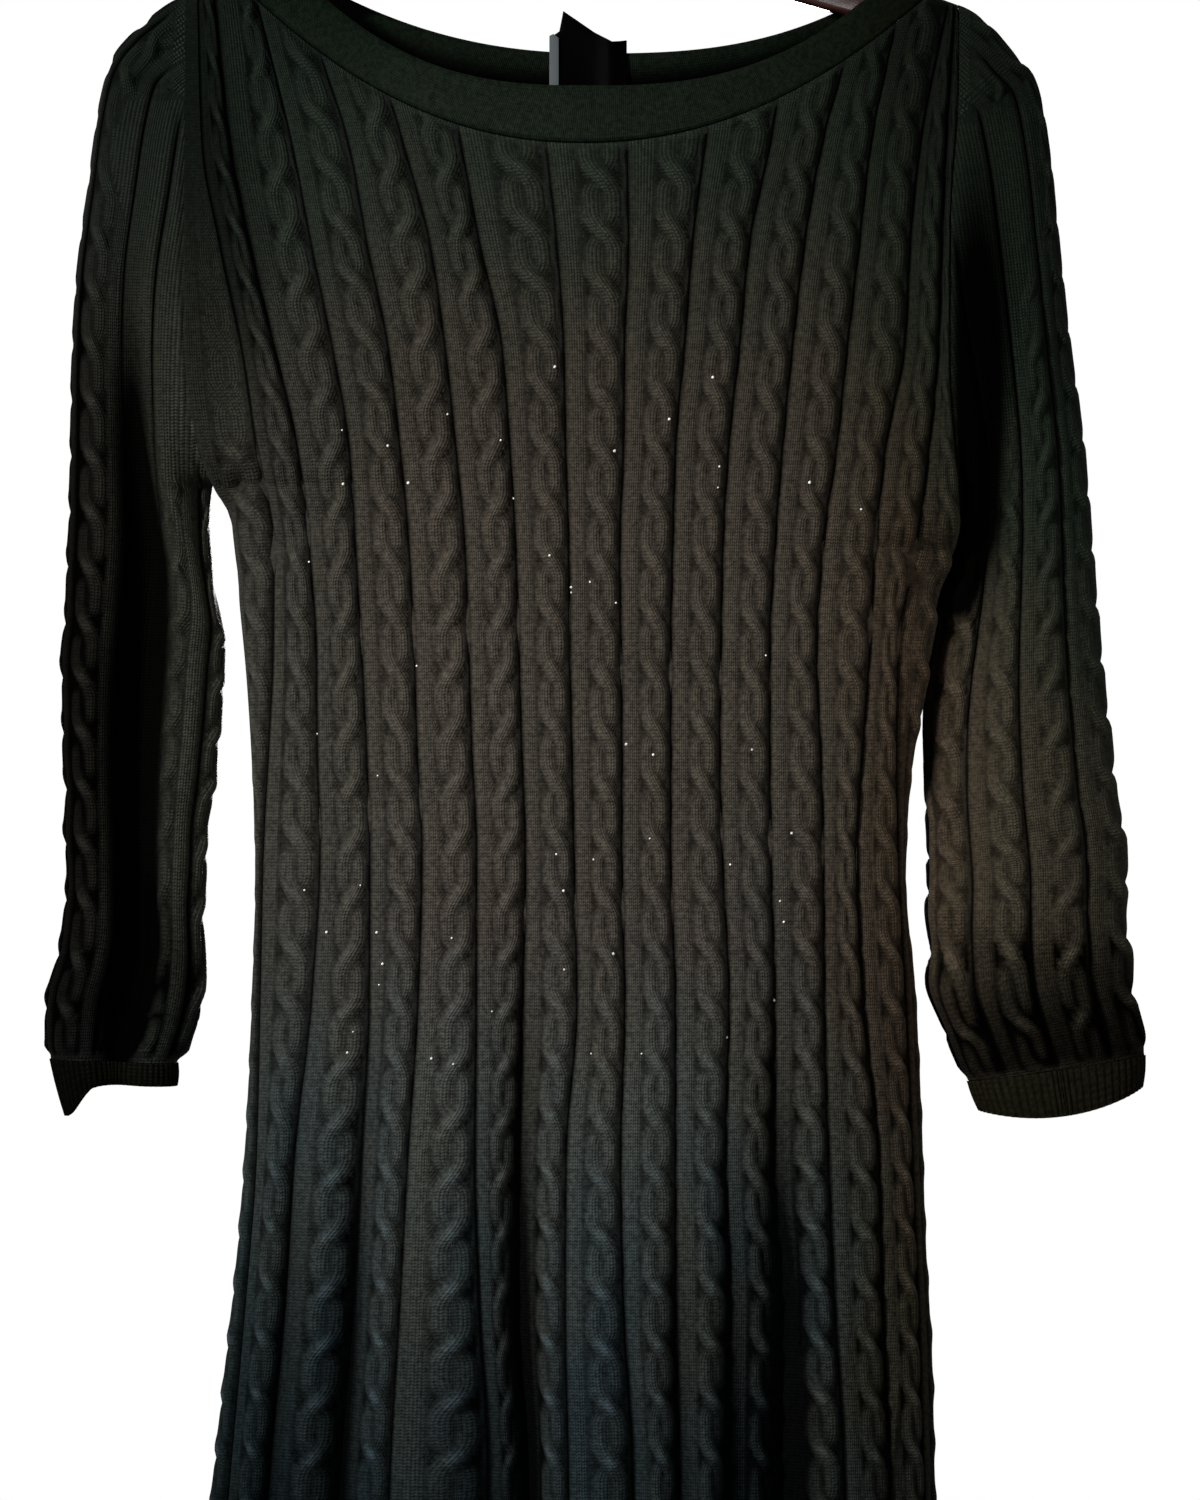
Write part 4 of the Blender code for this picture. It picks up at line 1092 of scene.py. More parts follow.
# %% Panels
SEAM_FADE, SEAM_REACH, HEM_FADE = 5.0, 2.0, 7.0
PANEL_TOP_ROWS, PANEL_LOW_ROWS = 54, 306
PLAIN_TO, PLAIN_OVER = -395.0, 30.0
FOLD_FADE, FULL_FOLD, FULL_GROOVE_FOLD = 12.0, 30.0, 8.5
# Painted shade in the folds: how dark the big folds and the folds along the grooves are made.
FOLD_DARK, FOLD_DARK_POWER = 0.85, 1.2
GROOVE_FOLD_DARK, GROOVE_FOLD_DARK_POWER = 0.88, 1.6
PANEL_DARKEST, SLEEVE_DARKEST = 0.95, 0.99


def darken(shade, dark, darkest):
    """Adds the dark of folds and patches to the shade. Crests in the dark lose their shine."""
    dimmed = shade * np.where(shade < 0.0, 1.0 - np.clip(dark, 0.0, 1.0), 1.0)
    return np.clip(dimmed + dark, -1.0, darkest)


def make_panel(face):
    columns = knit_columns(COLUMNS)
    form = panel_form(face, columns, PANEL_TOP_ROWS, PANEL_LOW_ROWS)
    x, z = form[..., 0], form[..., 2]
    column = np.broadcast_to(columns, z.shape)
    normal = outward(form) * (-1.0 if face == "front" else 1.0)
    height, count, shade = knit_relief(*column_parts(form, columns), LEVEL - z)
    plain = (column < 1.0) * ease((z - PLAIN_TO) / PLAIN_OVER)
    from_side = np.minimum(x - x[:, :1], x[:, -1:] - x)
    from_top = np.abs(z[:1] - z)
    fade = ease((from_side + SEAM_REACH) / SEAM_FADE) * ease(from_top / SEAM_FADE)
    fade = fade * ease((z - HEM) / HEM_FADE)
    folds = groove_fold_depth(face, column, z)
    sunk = folds * ease(from_side / FOLD_FADE)
    height = height * (1.0 - plain) * fade + crease_relief(face, form) * fade - sunk
    outer = form + normal * height[..., None]
    inner = (form - normal * (WALL + sunk)[..., None])[::THIN_DOWN, ::THIN_ACROSS]
    # Painted shade: the folds and the patches of shade darken the cloth.
    deep = np.clip(fold_depth(face, fold_column(x, z), z) / FULL_FOLD, 0.0, 1.0)
    dark = FOLD_DARK * deep**FOLD_DARK_POWER + shadow_share(face, form)
    dark = dark + GROOVE_FOLD_DARK * np.clip(folds / FULL_GROOVE_FOLD, 0.0, 1.0) ** GROOVE_FOLD_DARK_POWER
    shade = darken(shade * fade * (1.0 - plain), dark, PANEL_DARKEST)
    uv = np.stack([count, (LEVEL - z) / STITCH_HIGH], axis=-1)
    return make_shell(f"{face}_cable_knit", outer, inner, uv, shade, cable_knit), outer


front, front_points = make_panel("front")
back = make_panel("back")[0]
for piece, node in ((front, "front_panel"), (back, "back_panel")):
    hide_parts(node)

# %% [markdown]
# ## Sleeves
#
# A sleeve is a tube whose rings fan round the underarm, from the upright armhole to the level cuff.
# Each table row gives a ring's two ends and its depth. The left sleeve has fallen in on itself, so a
# long trough runs down its front. The right one is fuller and only dips beside the armhole.

# %% Tables of the sleeves
Section = namedtuple("Section", "in_x in_z out_x out_z depth trough place")
LEFT_SLEEVE = [
    Section(-181.8, -397.5, -194.3, -152.8, 26.0, 0.0, 0.62),
    Section(-182.4, -401.5, -206.0, -163.2, 25.0, 0.0, 0.62),
    Section(-183.0, -406.5, -220.5, -175.0, 24.0, 0.0, 0.62),
    Section(-183.4, -413.0, -231.5, -189.5, 23.0, 1.0, 0.60),
    Section(-183.4, -421.0, -238.0, -214.0, 22.0, 3.0, 0.58),
    Section(-182.8, -431.0, -243.0, -250.0, 21.0, 6.0, 0.56),
    Section(-181.8, -444.0, -248.5, -290.0, 20.0, 10.0, 0.54),
    Section(-179.0, -460.0, -251.0, -335.0, 19.0, 14.0, 0.52),
    Section(-176.5, -478.0, -251.5, -385.0, 18.0, 17.0, 0.50),
    Section(-178.5, -503.0, -252.5, -435.0, 17.5, 19.0, 0.49),
    Section(-181.5, -535.0, -255.0, -482.0, 17.0, 20.0, 0.49),
    Section(-186.0, -570.0, -254.5, -530.0, 17.0, 20.0, 0.48),
    Section(-188.3, -605.0, -252.8, -580.0, 17.0, 19.0, 0.47),
    Section(-187.8, -636.0, -254.5, -622.0, 17.0, 18.0, 0.46),
    Section(-190.5, -662.0, -262.5, -654.0, 17.0, 15.0, 0.46),
    Section(-199.5, -686.0, -262.5, -684.0, 16.0, 9.0, 0.46),
]
RIGHT_SLEEVE = [
    Section(190.9, -427.5, 190.8, -157.8, 26.0, 0.0, 0.25),
    Section(193.4, -430.0, 204.0, -168.5, 25.0, 0.0, 0.25),
    Section(195.4, -433.5, 217.5, -184.0, 24.0, 0.0, 0.25),
    Section(196.3, -438.0, 229.5, -200.0, 23.0, 1.0, 0.24),
    Section(196.5, -443.0, 236.0, -233.0, 22.0, 3.0, 0.22),
    Section(195.8, -450.0, 240.5, -275.0, 21.0, 6.0, 0.20),
    Section(193.9, -460.0, 246.0, -325.0, 20.0, 9.0, 0.19),
    Section(190.4, -474.0, 252.5, -375.0, 19.5, 11.0, 0.19),
    Section(186.0, -490.0, 255.8, -415.0, 19.0, 11.0, 0.20),
    Section(181.5, -509.0, 258.5, -452.0, 19.0, 10.0, 0.20),
    Section(177.8, -534.0, 262.0, -492.0, 19.0, 8.0, 0.20),
    Section(176.5, -566.0, 267.0, -537.0, 19.0, 4.0, 0.20),
    Section(177.5, -600.0, 273.0, -582.0, 19.0, 1.0, 0.22),
    Section(177.0, -632.0, 274.5, -630.0, 19.0, 0.0, 0.25),
    Section(180.5, -658.0, 279.5, -658.0, 18.5, 0.0, 0.25),
    Section(196.0, -695.0, 284.0, -682.0, 18.0, 0.0, 0.25),
]
SLEEVES = {"left": LEFT_SLEEVE, "right": RIGHT_SLEEVE}
print("rings in the tables:", {name: len(rows) for name, rows in SLEEVES.items()})

# %% The plain form of a sleeve
SHARE_POWER, SLEEVE_CROWN, TROUGH_WIDTH = 1.5, 2.3, 0.17
ARMHOLE_RINGS, BOW_RINGS = 6.0, 8.0
ARMHOLE_GAP = {"left": 0.05, "right": 0.35}


def ring_value(rows, place, name):
    """A column of a sleeve's table at places between its rows, on a smooth curve."""
    values = np.array([getattr(row, name) for row in rows])
    low = np.clip(np.floor(place).astype(int), 0, len(rows) - 2)
    t = place - low
    p0, p1, p2, p3 = (values[np.clip(low + n, 0, len(rows) - 1)] for n in (-1, 0, 1, 2))
    square = 2 * p0 - 5 * p1 + 4 * p2 - p3
    return 0.5 * (2 * p1 + (p2 - p0) * t + square * t**2 + (3 * p1 - 3 * p2 + p3 - p0) * t**3)


def ring_places(rows, count):
    """Places along a table, evenly spaced on the outer side of the sleeve."""
    ends = np.array([(row.out_x, row.out_z) for row in rows])
    along = np.concatenate([[0.0], np.cumsum(np.linalg.norm(np.diff(ends, axis=0), axis=1))])
    return np.interp(np.linspace(0.0, along[-1], count), along, np.arange(len(rows)))


def share_at(turn):
    """How far across a ring a turn lies, from the underarm to the outside."""
    swing = np.cos(turn * 2 * math.pi)
    return 0.5 - 0.5 * np.copysign(np.abs(swing) ** SHARE_POWER, swing)


def sleeve_form(name, place, turn):
    """Points of a sleeve. A turn of 0 is the underarm, up to 0.5 it is in front, and 0.5 is outside."""
    rows = SLEEVES[name]
    out = 1.0 if name == "right" else -1.0
    share = share_at(turn)
    x = mix(ring_value(rows, place, "in_x"), ring_value(rows, place, "out_x"), share)
    z = mix(ring_value(rows, place, "in_z"), ring_value(rows, place, "out_z"), share)
    crown = np.maximum(0.0, 1.0 - np.abs(2.0 * share - 1.0) ** SLEEVE_CROWN) ** (1.0 / SLEEVE_CROWN)
    deep = ring_value(rows, place, "depth") * crown
    near = np.clip(1.0 - place / ARMHOLE_RINGS, 0.0, 1.0)
    deep = mix(deep, armhole_depth(name, z) * (crown > 1e-6), near)
    seam_z = mix(rows[0].in_z, rows[0].out_z, share)
    seam_x = mix(rows[0].in_x, rows[0].out_x, share)
    bow = np.clip(1.0 - place / BOW_RINGS, 0.0, 1.0)
    x = x + (side(name, seam_z) + out * ARMHOLE_GAP[name] - seam_x) * bow
    in_front = np.sin(turn * 2 * math.pi) >= 0
    away = (share - ring_value(rows, place, "place")) / TROUGH_WIDTH
    dip = np.where(in_front, ring_value(rows, place, "trough") * np.exp(-away * away), 0.0)
    dip = dip * np.minimum(1.0, 1.5 * crown)
    y = np.where(in_front, -deep, deep) + dip
    return np.stack([x, y, z], axis=-1), dip


def section_normals(name, points, place):
    """Normals kept in the plane of each ring, so that rings near the underarm never cross."""
    rows = SLEEVES[name]
    normal = outward(points, wrap=True) * (-1.0 if name == "right" else 1.0)
    reach_x = ring_value(rows, place, "out_x") - ring_value(rows, place, "in_x")
    reach_z = ring_value(rows, place, "out_z") - ring_value(rows, place, "in_z")
    size = np.hypot(reach_x, reach_z)
    run = np.stack([reach_z / size, np.zeros_like(size), -reach_x / size], axis=-1)
    normal = normal - run * np.sum(normal * run, axis=-1, keepdims=True)
    return normal / np.maximum(1e-9, np.linalg.norm(normal, axis=-1, keepdims=True))


print("places of nine rings:", ring_places(LEFT_SLEEVE, 9).round(1))

# %% [markdown]
# ## Slack under the right arm
#
# The right sleeve is caught a little behind the body, so its inner edge hangs slack there and lies
# flat. Its points are pulled behind the edge of the body, most at the underarm side of each ring
# and hardly at all a short way across. The share of the pull also says where the cloth is in shade.

# %% Slack under the right arm
SLACK_CLEAR, SLACK_BACK, SLACK_SHARE, SLACK_FLAT = 0.5, 5.0, 0.07, 0.72
SLACK_LEAVES, SLACK_ENDS, SLACK_OFF = -503.0, -566.0, 11.0
SLACK_RINGS, SLACK_SOFT = 1.5, 3.0


def underarm_slack(rows, form, place, share):
    """Lets the right sleeve's inner edge hang slack behind the body's edge under the arm."""
    in_x, in_z = ring_value(rows, place, "in_x"), ring_value(rows, place, "in_z")
    off = SLACK_OFF * np.maximum(0.0, SLACK_LEAVES - in_z) / (SLACK_LEAVES - SLACK_ENDS)
    reach = np.minimum(0.0, side("right", in_z) + SLACK_CLEAR + off - in_x) * ease(place / SLACK_RINGS)
    near = np.exp(-((share / SLACK_SHARE) ** 2)) * ease(-reach / SLACK_SOFT)
    moved = form.copy()
    moved[..., 0] += reach * np.exp(-((share / SLACK_SHARE) ** 2))
    moved[..., 1] = moved[..., 1] * (1.0 - SLACK_FLAT * near) + SLACK_BACK * near
    return moved, near


print("the slack lies flat to:", round(1.0 - SLACK_FLAT, 2), "of the sleeve's depth")

# %% [markdown]
# ## Straight columns
#
# The columns of a sleeve run straight down beside its outer edge. The upper rings slant, so even
# steps along them would bunch the columns. So the distance of points from the outer edge is
# measured, and the turns of every ring are moved to where it is an even share of the ring's reach.

# %% Straight columns
EDGE_STEPS, TURN_STEPS = 300, 160
EDGE_REACH = 2.0


def outer_edge(rows):
    """Points of the outer edge of a sleeve in the front view, and how far down each one lies."""
    places = np.linspace(0.0, len(rows) - 1.0, EDGE_STEPS)
    edge = np.stack([ring_value(rows, places, "out_x"), ring_value(rows, places, "out_z")], axis=-1)
    steps = np.linalg.norm(np.diff(edge, axis=0), axis=-1)
    return edge, np.concatenate([[0.0], np.cumsum(steps)])


def from_outer_edge(rows, points):
    """Each point's distance from the outer edge, and minus the way from there down to the cuff."""
    edge, far = outer_edge(rows)
    run = np.gradient(edge, far, axis=0)
    away = np.hypot(points[..., None, 0] - edge[:, 0], points[..., None, 2] - edge[:, 1])
    near = np.argmin(away, axis=-1)
    off = points[..., ::2] - edge[near]
    along = np.clip(np.sum(off * run[near], axis=-1), -EDGE_REACH, EDGE_REACH)
    return np.linalg.norm(off - along[..., None] * run[near], axis=-1), far[near] + along - far[-1]


def turn_at(share):
    """The turn on the front of a ring for a share of its width."""
    swing = 1.0 - 2.0 * share
    cosine = np.copysign(np.abs(swing) ** (1.0 / SHARE_POWER), swing)
    return np.arccos(np.clip(cosine, -1.0, 1.0)) / (2 * math.pi)


def straight_turns(name, places, turns):
    """On each ring, the turns that lie at even shares of its reach from the outer edge."""
    fine = np.linspace(1.0, 0.0, TURN_STEPS)
    place, share = np.meshgrid(places, fine, indexing="ij")
    ring = sleeve_form(name, place, turn_at(share))[0]
    away = np.maximum.accumulate(from_outer_edge(SLEEVES[name], ring)[0], axis=1)
    away = away - away[:, :1] + np.arange(len(fine)) * 1e-6
    wanted = 1.0 - share_at(turns)
    found = np.stack([np.interp(wanted * line[-1], line, fine) for line in away])
    on_front = turn_at(found)
    return np.where(turns % 1.0 <= 0.5, on_front, 1.0 - on_front) + np.floor(turns)


for name, rows in SLEEVES.items():
    print(name, "sleeve length:", round(float(outer_edge(rows)[1][-1])), "mm")

# %% [markdown]
# ## The knit of the sleeves
#
# A sleeve has eight columns. Its first rings stand upright in the armhole, so they borrow the
# columns' widths from a level ring. Plain knit takes the place of cables where the mesh slants too
# much, and the relief dies away at both ends and in the trough. A few small wrinkles lie across.

# %% How the knit lies on a sleeve
SLEEVE_COLUMNS = 8
LEVEL_RING = 13.0
MOST_SLANT, SLANT_OVER = 0.88, 0.08
HOLLOW_ENDS, HOLLOW_OVER, FULL_HOLLOW = -458.0, 45.0, 9.0
WRINKLE_SLANT = 0.04
Wrinkle = namedtuple("Wrinkle", "middle spread size pitch")
WRINKLES = {
    "left": [Wrinkle(-470.0, 40.0, 0.8, 8.5), Wrinkle(-575.0, 45.0, 0.9, 7.5)],
    "right": [Wrinkle(-560.0, 40.0, 0.8, 8.0), Wrinkle(-635.0, 38.0, 1.4, 6.5)],
}


def level_parts(form, columns, places):
    """Places across the columns, as on a level ring, for all the rings that slant more than it."""
    part, wide, whole = column_parts(form, columns)
    level = int(np.argmin(np.abs(places - LEVEL_RING)))
    part[:level], wide[:level] = part[level], wide[level]
    return part, wide, whole


def square_share(form):
    """How far the mesh is square enough for cables, from 1 down to 0 where it slants too much."""
    across, down = np.gradient(form, axis=1), np.gradient(form, axis=0)
    sizes = np.linalg.norm(across, axis=-1) * np.linalg.norm(down, axis=-1)
    slant = np.abs(np.sum(across * down, axis=-1)) / np.maximum(1e-9, sizes)
    return 1.0 - ease((slant - MOST_SLANT) / SLANT_OVER)


def hollow_share(name, dip, z):
    """Depth in the trough, for the painted shade and the fading relief. On the right sleeve both end under
    the arm.
    """
    sunk = np.clip(dip / FULL_HOLLOW, 0.0, 1.0)
    return sunk * ease((z - HOLLOW_ENDS) / HOLLOW_OVER) if name == "right" else sunk


def add_wrinkles(name, height, form, fade):
    x, z = form[..., 0], form[..., 2]
    for fold in WRINKLES[name]:
        reach = np.exp(-(((z - fold.middle) / fold.spread) ** 2))
        height = height + fold.size * reach * np.sin(z / fold.pitch + WRINKLE_SLANT * x) * fade
    return height


print("wrinkled places:", {name: [fold.middle for fold in folds] for name, folds in WRINKLES.items()})

# %% Sleeves
SLEEVE_FINE_ROWS = 276
SLEEVE_PLAIN_MM = 22.0
SLEEVE_TURN = {"left": 0.07, "right": 0.0}
# Painted shade on the sleeves: the slack under the right arm, and the trough.
SLACK_DARK, SLACK_PLAIN = 0.95, 0.8
HOLLOW_DARK, HOLLOW_DARK_POWER = 0.97, 1.3
CABLE_LEAST, PLAIN_WALES = 0.3, 6.0
DEEPEST = -1.1


def make_sleeve(name):
    columns = knit_columns(SLEEVE_COLUMNS)
    places = ring_places(SLEEVES[name], SLEEVE_FINE_ROWS + 1)
    place = np.meshgrid(places, columns, indexing="ij")[0]
    turn = straight_turns(name, places, columns / SLEEVE_COLUMNS + SLEEVE_TURN[name])
    form, dip = sleeve_form(name, place, turn)
    share = share_at(turn)
    near = np.zeros_like(share)
    if name == "right":
        form, near = underarm_slack(SLEEVES[name], form, place, share)
    normal = section_normals(name, form, place)
    normal[:, -1] = normal[:, 0]
    down = from_outer_edge(SLEEVES[name], form)[1]
    steps = np.linalg.norm(np.diff(form, axis=0), axis=-1)
    from_top = np.concatenate([np.zeros((1, form.shape[1])), np.cumsum(steps, axis=0)])
    from_cuff = from_top[-1:] - from_top
    keep = square_share(form)
    part, wide, whole = level_parts(form, columns, places)
    height, count, shade = knit_relief(part, wide, whole, down, keep)
    sunk = hollow_share(name, dip, form[..., 2])
    fade = ease(from_top / SLEEVE_PLAIN_MM) * ease(from_cuff / HEM_FADE)
    fade = fade * (1.0 - sunk) * (1.0 - SLACK_PLAIN * near)
    height = add_wrinkles(name, height * fade, form, fade)
    count = np.where(np.minimum(fade, keep) > CABLE_LEAST, count, part * PLAIN_WALES)
    outer = form + normal * np.maximum(height, DEEPEST)[..., None]
    inner = (form - normal * WALL)[::THIN_DOWN, ::SLEEVE_THIN_ACROSS]
    # Painted shade: the slack, the patches of shade and the trough darken the cloth.
    dark = SLACK_DARK * near + shadow_share(name, form) + HOLLOW_DARK * sunk**HOLLOW_DARK_POWER
    shade = darken(shade * fade, dark, SLEEVE_DARKEST)
    uv = np.stack([count, down / STITCH_HIGH], axis=-1)
    return make_shell(f"{name}_sleeve_cable_knit", outer, inner, uv, shade, cable_knit, tube=True)


for name in SLEEVES:
    sleeve = make_sleeve(name)
    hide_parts(f"sleeve_{name}")

# %% [markdown]
# ## Cuffs
#
# Each cuff is a short ribbed band, sewn on at the last ring of its sleeve, with 64 ribs that run
# down. The band follows the sleeve's own end, so the same form gives its upper edge, and the lower
# edge is dropped and pulled in a little. The left cuff hangs to a tip, and the right one bows.

# %% Cuffs
SEAM_GAP, BEFORE_END = 0.3, 0.05
CUFF_HIGH, CUFF_WALL, CUFF_RAISE, CUFF_BOW = 10.0, 1.6, 0.7, 0.5
CUFF_RIBS, RIB_STEPS, CUFF_ROWS, CUFF_THIN_DOWN = 64, 4, 8, 4
TIP_REACH = 0.22
RIB_SHADE, CUFF_SHADE = 0.5, 0.1
Cuff = namedtuple("Cuff", "drop out_drop middle_drop pull_in flare flat area")
CUFFS = {
    "left": Cuff(1.5, 16.5, 0.0, 8.5, 0.0, (0.150, 0.028), 0.0024),
    "right": Cuff(5.5, 0.0, 7.5, 0.0, -3.5, (0.195, 0.023), 0.0038),
}


def make_cuff(name):
    rows, cuff = SLEEVES[name], CUFFS[name]
    place = np.full((1, CUFF_RIBS * RIB_STEPS + 1), len(rows) - 1.0)
    turn = np.linspace(0.0, 1.0, place.shape[1])[None, :]
    ring = sleeve_form(name, place, turn)[0]
    above = sleeve_form(name, place - BEFORE_END, turn)[0]
    normal = section_normals(name, np.concatenate([above, ring]), np.repeat(place, 2, axis=0))[1:]
    normal[:, -1] = normal[:, 0]
    reach = np.array([rows[-1].out_x - rows[-1].in_x, 0.0, rows[-1].out_z - rows[-1].in_z])
    width = np.linalg.norm(reach)
    across = reach / width
    down = np.array([across[2], 0.0, -across[0]])
    down = down if down[2] < 0 else -down
    share = ((ring - ring[:, :1]) @ across / width)[..., None]
    level = np.linspace(0.0, 1.0, CUFF_ROWS + 1)[:, None, None]
    hang = cuff.out_drop * np.exp(-(((1.0 - share) / TIP_REACH) ** 2))
    hang = hang + cuff.middle_drop * (1.0 - (2 * share - 1) ** 2)
    drop = SEAM_GAP + level * (CUFF_HIGH + cuff.drop + hang)
    form = ring + down * drop + across * (cuff.flare * (2 * share - 1) - cuff.pull_in * share**4) * level
    rib = 0.5 - 0.5 * np.cos(turn * CUFF_RIBS * 2 * math.pi)
    bow = CUFF_BOW * np.sin(level[..., 0] * math.pi)
    outer = form + normal * (CUFF_RAISE * rib + bow)[..., None]
    inner = (form - normal * CUFF_WALL)[::CUFF_THIN_DOWN, ::RIB_STEPS]
    shade = np.clip(RIB_SHADE * (1.0 - rib) ** 2 * np.ones_like(level[..., 0]) + CUFF_SHADE, 0.0, 1.0)
    uv = np.stack(np.broadcast_arrays(turn * CUFF_RIBS, level[..., 0] * CUFF_HIGH / STITCH_HIGH), axis=-1)
    return make_shell(f"{name}_ribbed_cuff", outer, inner, uv, shade, plain_knit, tube=True)


for name in CUFFS:
    cuff = make_cuff(name)
    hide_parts(f"cuff_{name}")

# %% [markdown]
# ## Neckband
#
# The boat neck ends in a plain band, knitted as a strip, folded double and sewn round in one ring.
# Its outline follows the two neck curves, in front and behind, and turns sharply at each shoulder.
# A short table holds its section from the seam over the folded edge to the inside: the share of the
# way up from the seam, and how far the cloth stands out there. Sweeping that section round the ring
# gives a closed tube.

# %% The band's section
BAND_SECTION = [
    (0.000, -0.5),
    (0.012, 0.0),
    (0.090, 0.35),
    (0.250, 0.50),
    (0.450, 0.52),
    (0.650, 0.48),
    (0.820, 0.36),
    (0.930, 0.10),
    (0.985, -0.45),
    (1.005, -1.15),
    (0.985, -1.90),
    (0.900, -2.35),
    (0.740, -2.40),
    (0.600, -2.40),
    (0.450, -2.40),
    (0.250, -2.40),
    (0.060, -2.35),
    (0.012, -1.40),
]
print("neckband thickness:", max(y for x, y in BAND_SECTION) - min(y for x, y in BAND_SECTION), "mm")

# %% Neckband
BAND_STEPS, BAND_HIGH, BAND_WALE = 84, 28.0, 2.1
MEASURED_ROW = 3
INNER_SIDE = -1.5
SEAM_SHADE, SEAM_SHADE_REACH, BAND_SHADE = 0.9, 0.05, 0.05
BAND_DEEP_SHADE, BAND_INSIDE_SHADE = 0.97, 0.25
BAND_DEEP_TO, BAND_DEEP_OVER = 0.45, 0.40


def band_edges(face):
    """The seam and the edge of the band from one shoulder to the other."""
    reach = np.sin(np.linspace(-0.5, 0.5, BAND_STEPS + 1) * math.pi)
    facing = -1.0 if face == "front" else 1.0
    lines = []
    for centre, half, height in ((SEAM_CENTRE, SEAM_HALF, neck_seam), (EDGE_CENTRE, EDGE_HALF, neck_edge)):
        x = centre + half * reach
        z = height(face, x)
        y = facing * panel_depth(face, x, z)
        y[[0, -1]] = 0.0
        lines.append(np.stack([x, y, z], axis=-1))
    return lines


def band_shade(share, out):
    """The shade of the band: dark in the crease of the seam, and dark low down on its inner side."""
    inside = mix(BAND_DEEP_SHADE, BAND_INSIDE_SHADE, ease((share - BAND_DEEP_TO) / BAND_DEEP_OVER))
    outside = np.clip(SEAM_SHADE - share / SEAM_SHADE_REACH, BAND_SHADE, 1.0)
    return np.where(out < INNER_SIDE, inside, outside)


def make_neckband():
    front_seam, front_edge = band_edges("front")
    back_seam, back_edge = band_edges("back")
    seam = np.concatenate([front_seam, back_seam[-2:0:-1]])
    edge = np.concatenate([front_edge, back_edge[-2:0:-1]])
    middle = (seam + edge) / 2
    along = np.roll(middle, -1, axis=0) - np.roll(middle, 1, axis=0)
    rise = edge - seam
    normal = np.cross(along, rise)
    normal = normal / np.linalg.norm(normal, axis=-1, keepdims=True)
    wide = np.linalg.norm(rise, axis=-1, keepdims=True)
    start = seam + rise / wide * SEAM_GAP
    section = np.array([*BAND_SECTION, BAND_SECTION[0]])
    points = start + section[:, :1, None] * (edge - start) + section[:, 1:, None] * normal
    points = np.concatenate([points, points[:, :1]], axis=1)
    steps = np.linalg.norm(np.diff(points[MEASURED_ROW], axis=0), axis=-1)
    far = np.concatenate([[0.0], np.cumsum(steps)])
    uv = np.stack(np.broadcast_arrays(far / BAND_WALE, section[:, :1] * BAND_HIGH / STITCH_HIGH), axis=-1)
    shade = np.broadcast_to(band_shade(section[:, :1], section[:, 1:]), points.shape[:2])
    bm = bmesh.new()
    made, shape = lay_grid(bm, points, uv, shade)
    weld_seam(bm, made, shape)
    bmesh.ops.remove_doubles(bm, verts=bm.verts, dist=1e-6)
    print("neckband length at its middle:", round(float(far[-1])), "mm")
    return finish_piece(bm, "neckband_plain_knit", plain_knit)


neckband = make_neckband()
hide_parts("neckband")

# %% [markdown]
# ## Label and size tab
#
# The woven label is folded over and sewn behind the back neck, with a small pale size tab beside
# it. Both are cut flat, so each starts as one face with its outline. Plane cuts give it points
# to bend, then the face is extruded to its thickness and its rim is bevelled.

# %% Woven label and tab
LABEL_OUTLINE = [(-11.5, -202), (25.5, -200), (25.5, -172.5), (18, -173.5)]
LABEL_OUTLINE += [(9, -168.5), (-6.5, -157.8), (-8.5, -168), (-11.5, -170)]
LABEL_Y, LABEL_THICK = 16.7, 1.0
LABEL_FOLD_X, LABEL_FOLD_WIDE, LABEL_FOLD_HIGH = 17.0, 3.5, 2.2
LABEL_WAVE, LABEL_PACE_X, LABEL_PACE_Z = 0.5, 6.0, 9.0
TAB_OUTLINE = [(-13.5, -200), (-8.8, -200), (-8.8, -171.5), (-11.5, -169.5), (-13.5, -170.5)]
TAB_Y, TAB_THICK = 15.4, 0.5
TAB_WAVE, TAB_PACE, TAB_OUT = 0.35, 8.0, 0.3
CUT_EVERY = 3.0
RIM_ANGLE, RIM_ROUND = 1.0, 0.25


def label_bend(x, z):
    """How far the label stands off: its fold near the right end, and a soft wave."""
    fold = LABEL_FOLD_HIGH * np.exp(-(((x - LABEL_FOLD_X) / LABEL_FOLD_WIDE) ** 2))
    return fold + LABEL_WAVE * math.sin(x / LABEL_PACE_X + z / LABEL_PACE_Z)


def tab_bend(x, z):
    return TAB_WAVE * math.sin(z / TAB_PACE) + TAB_OUT


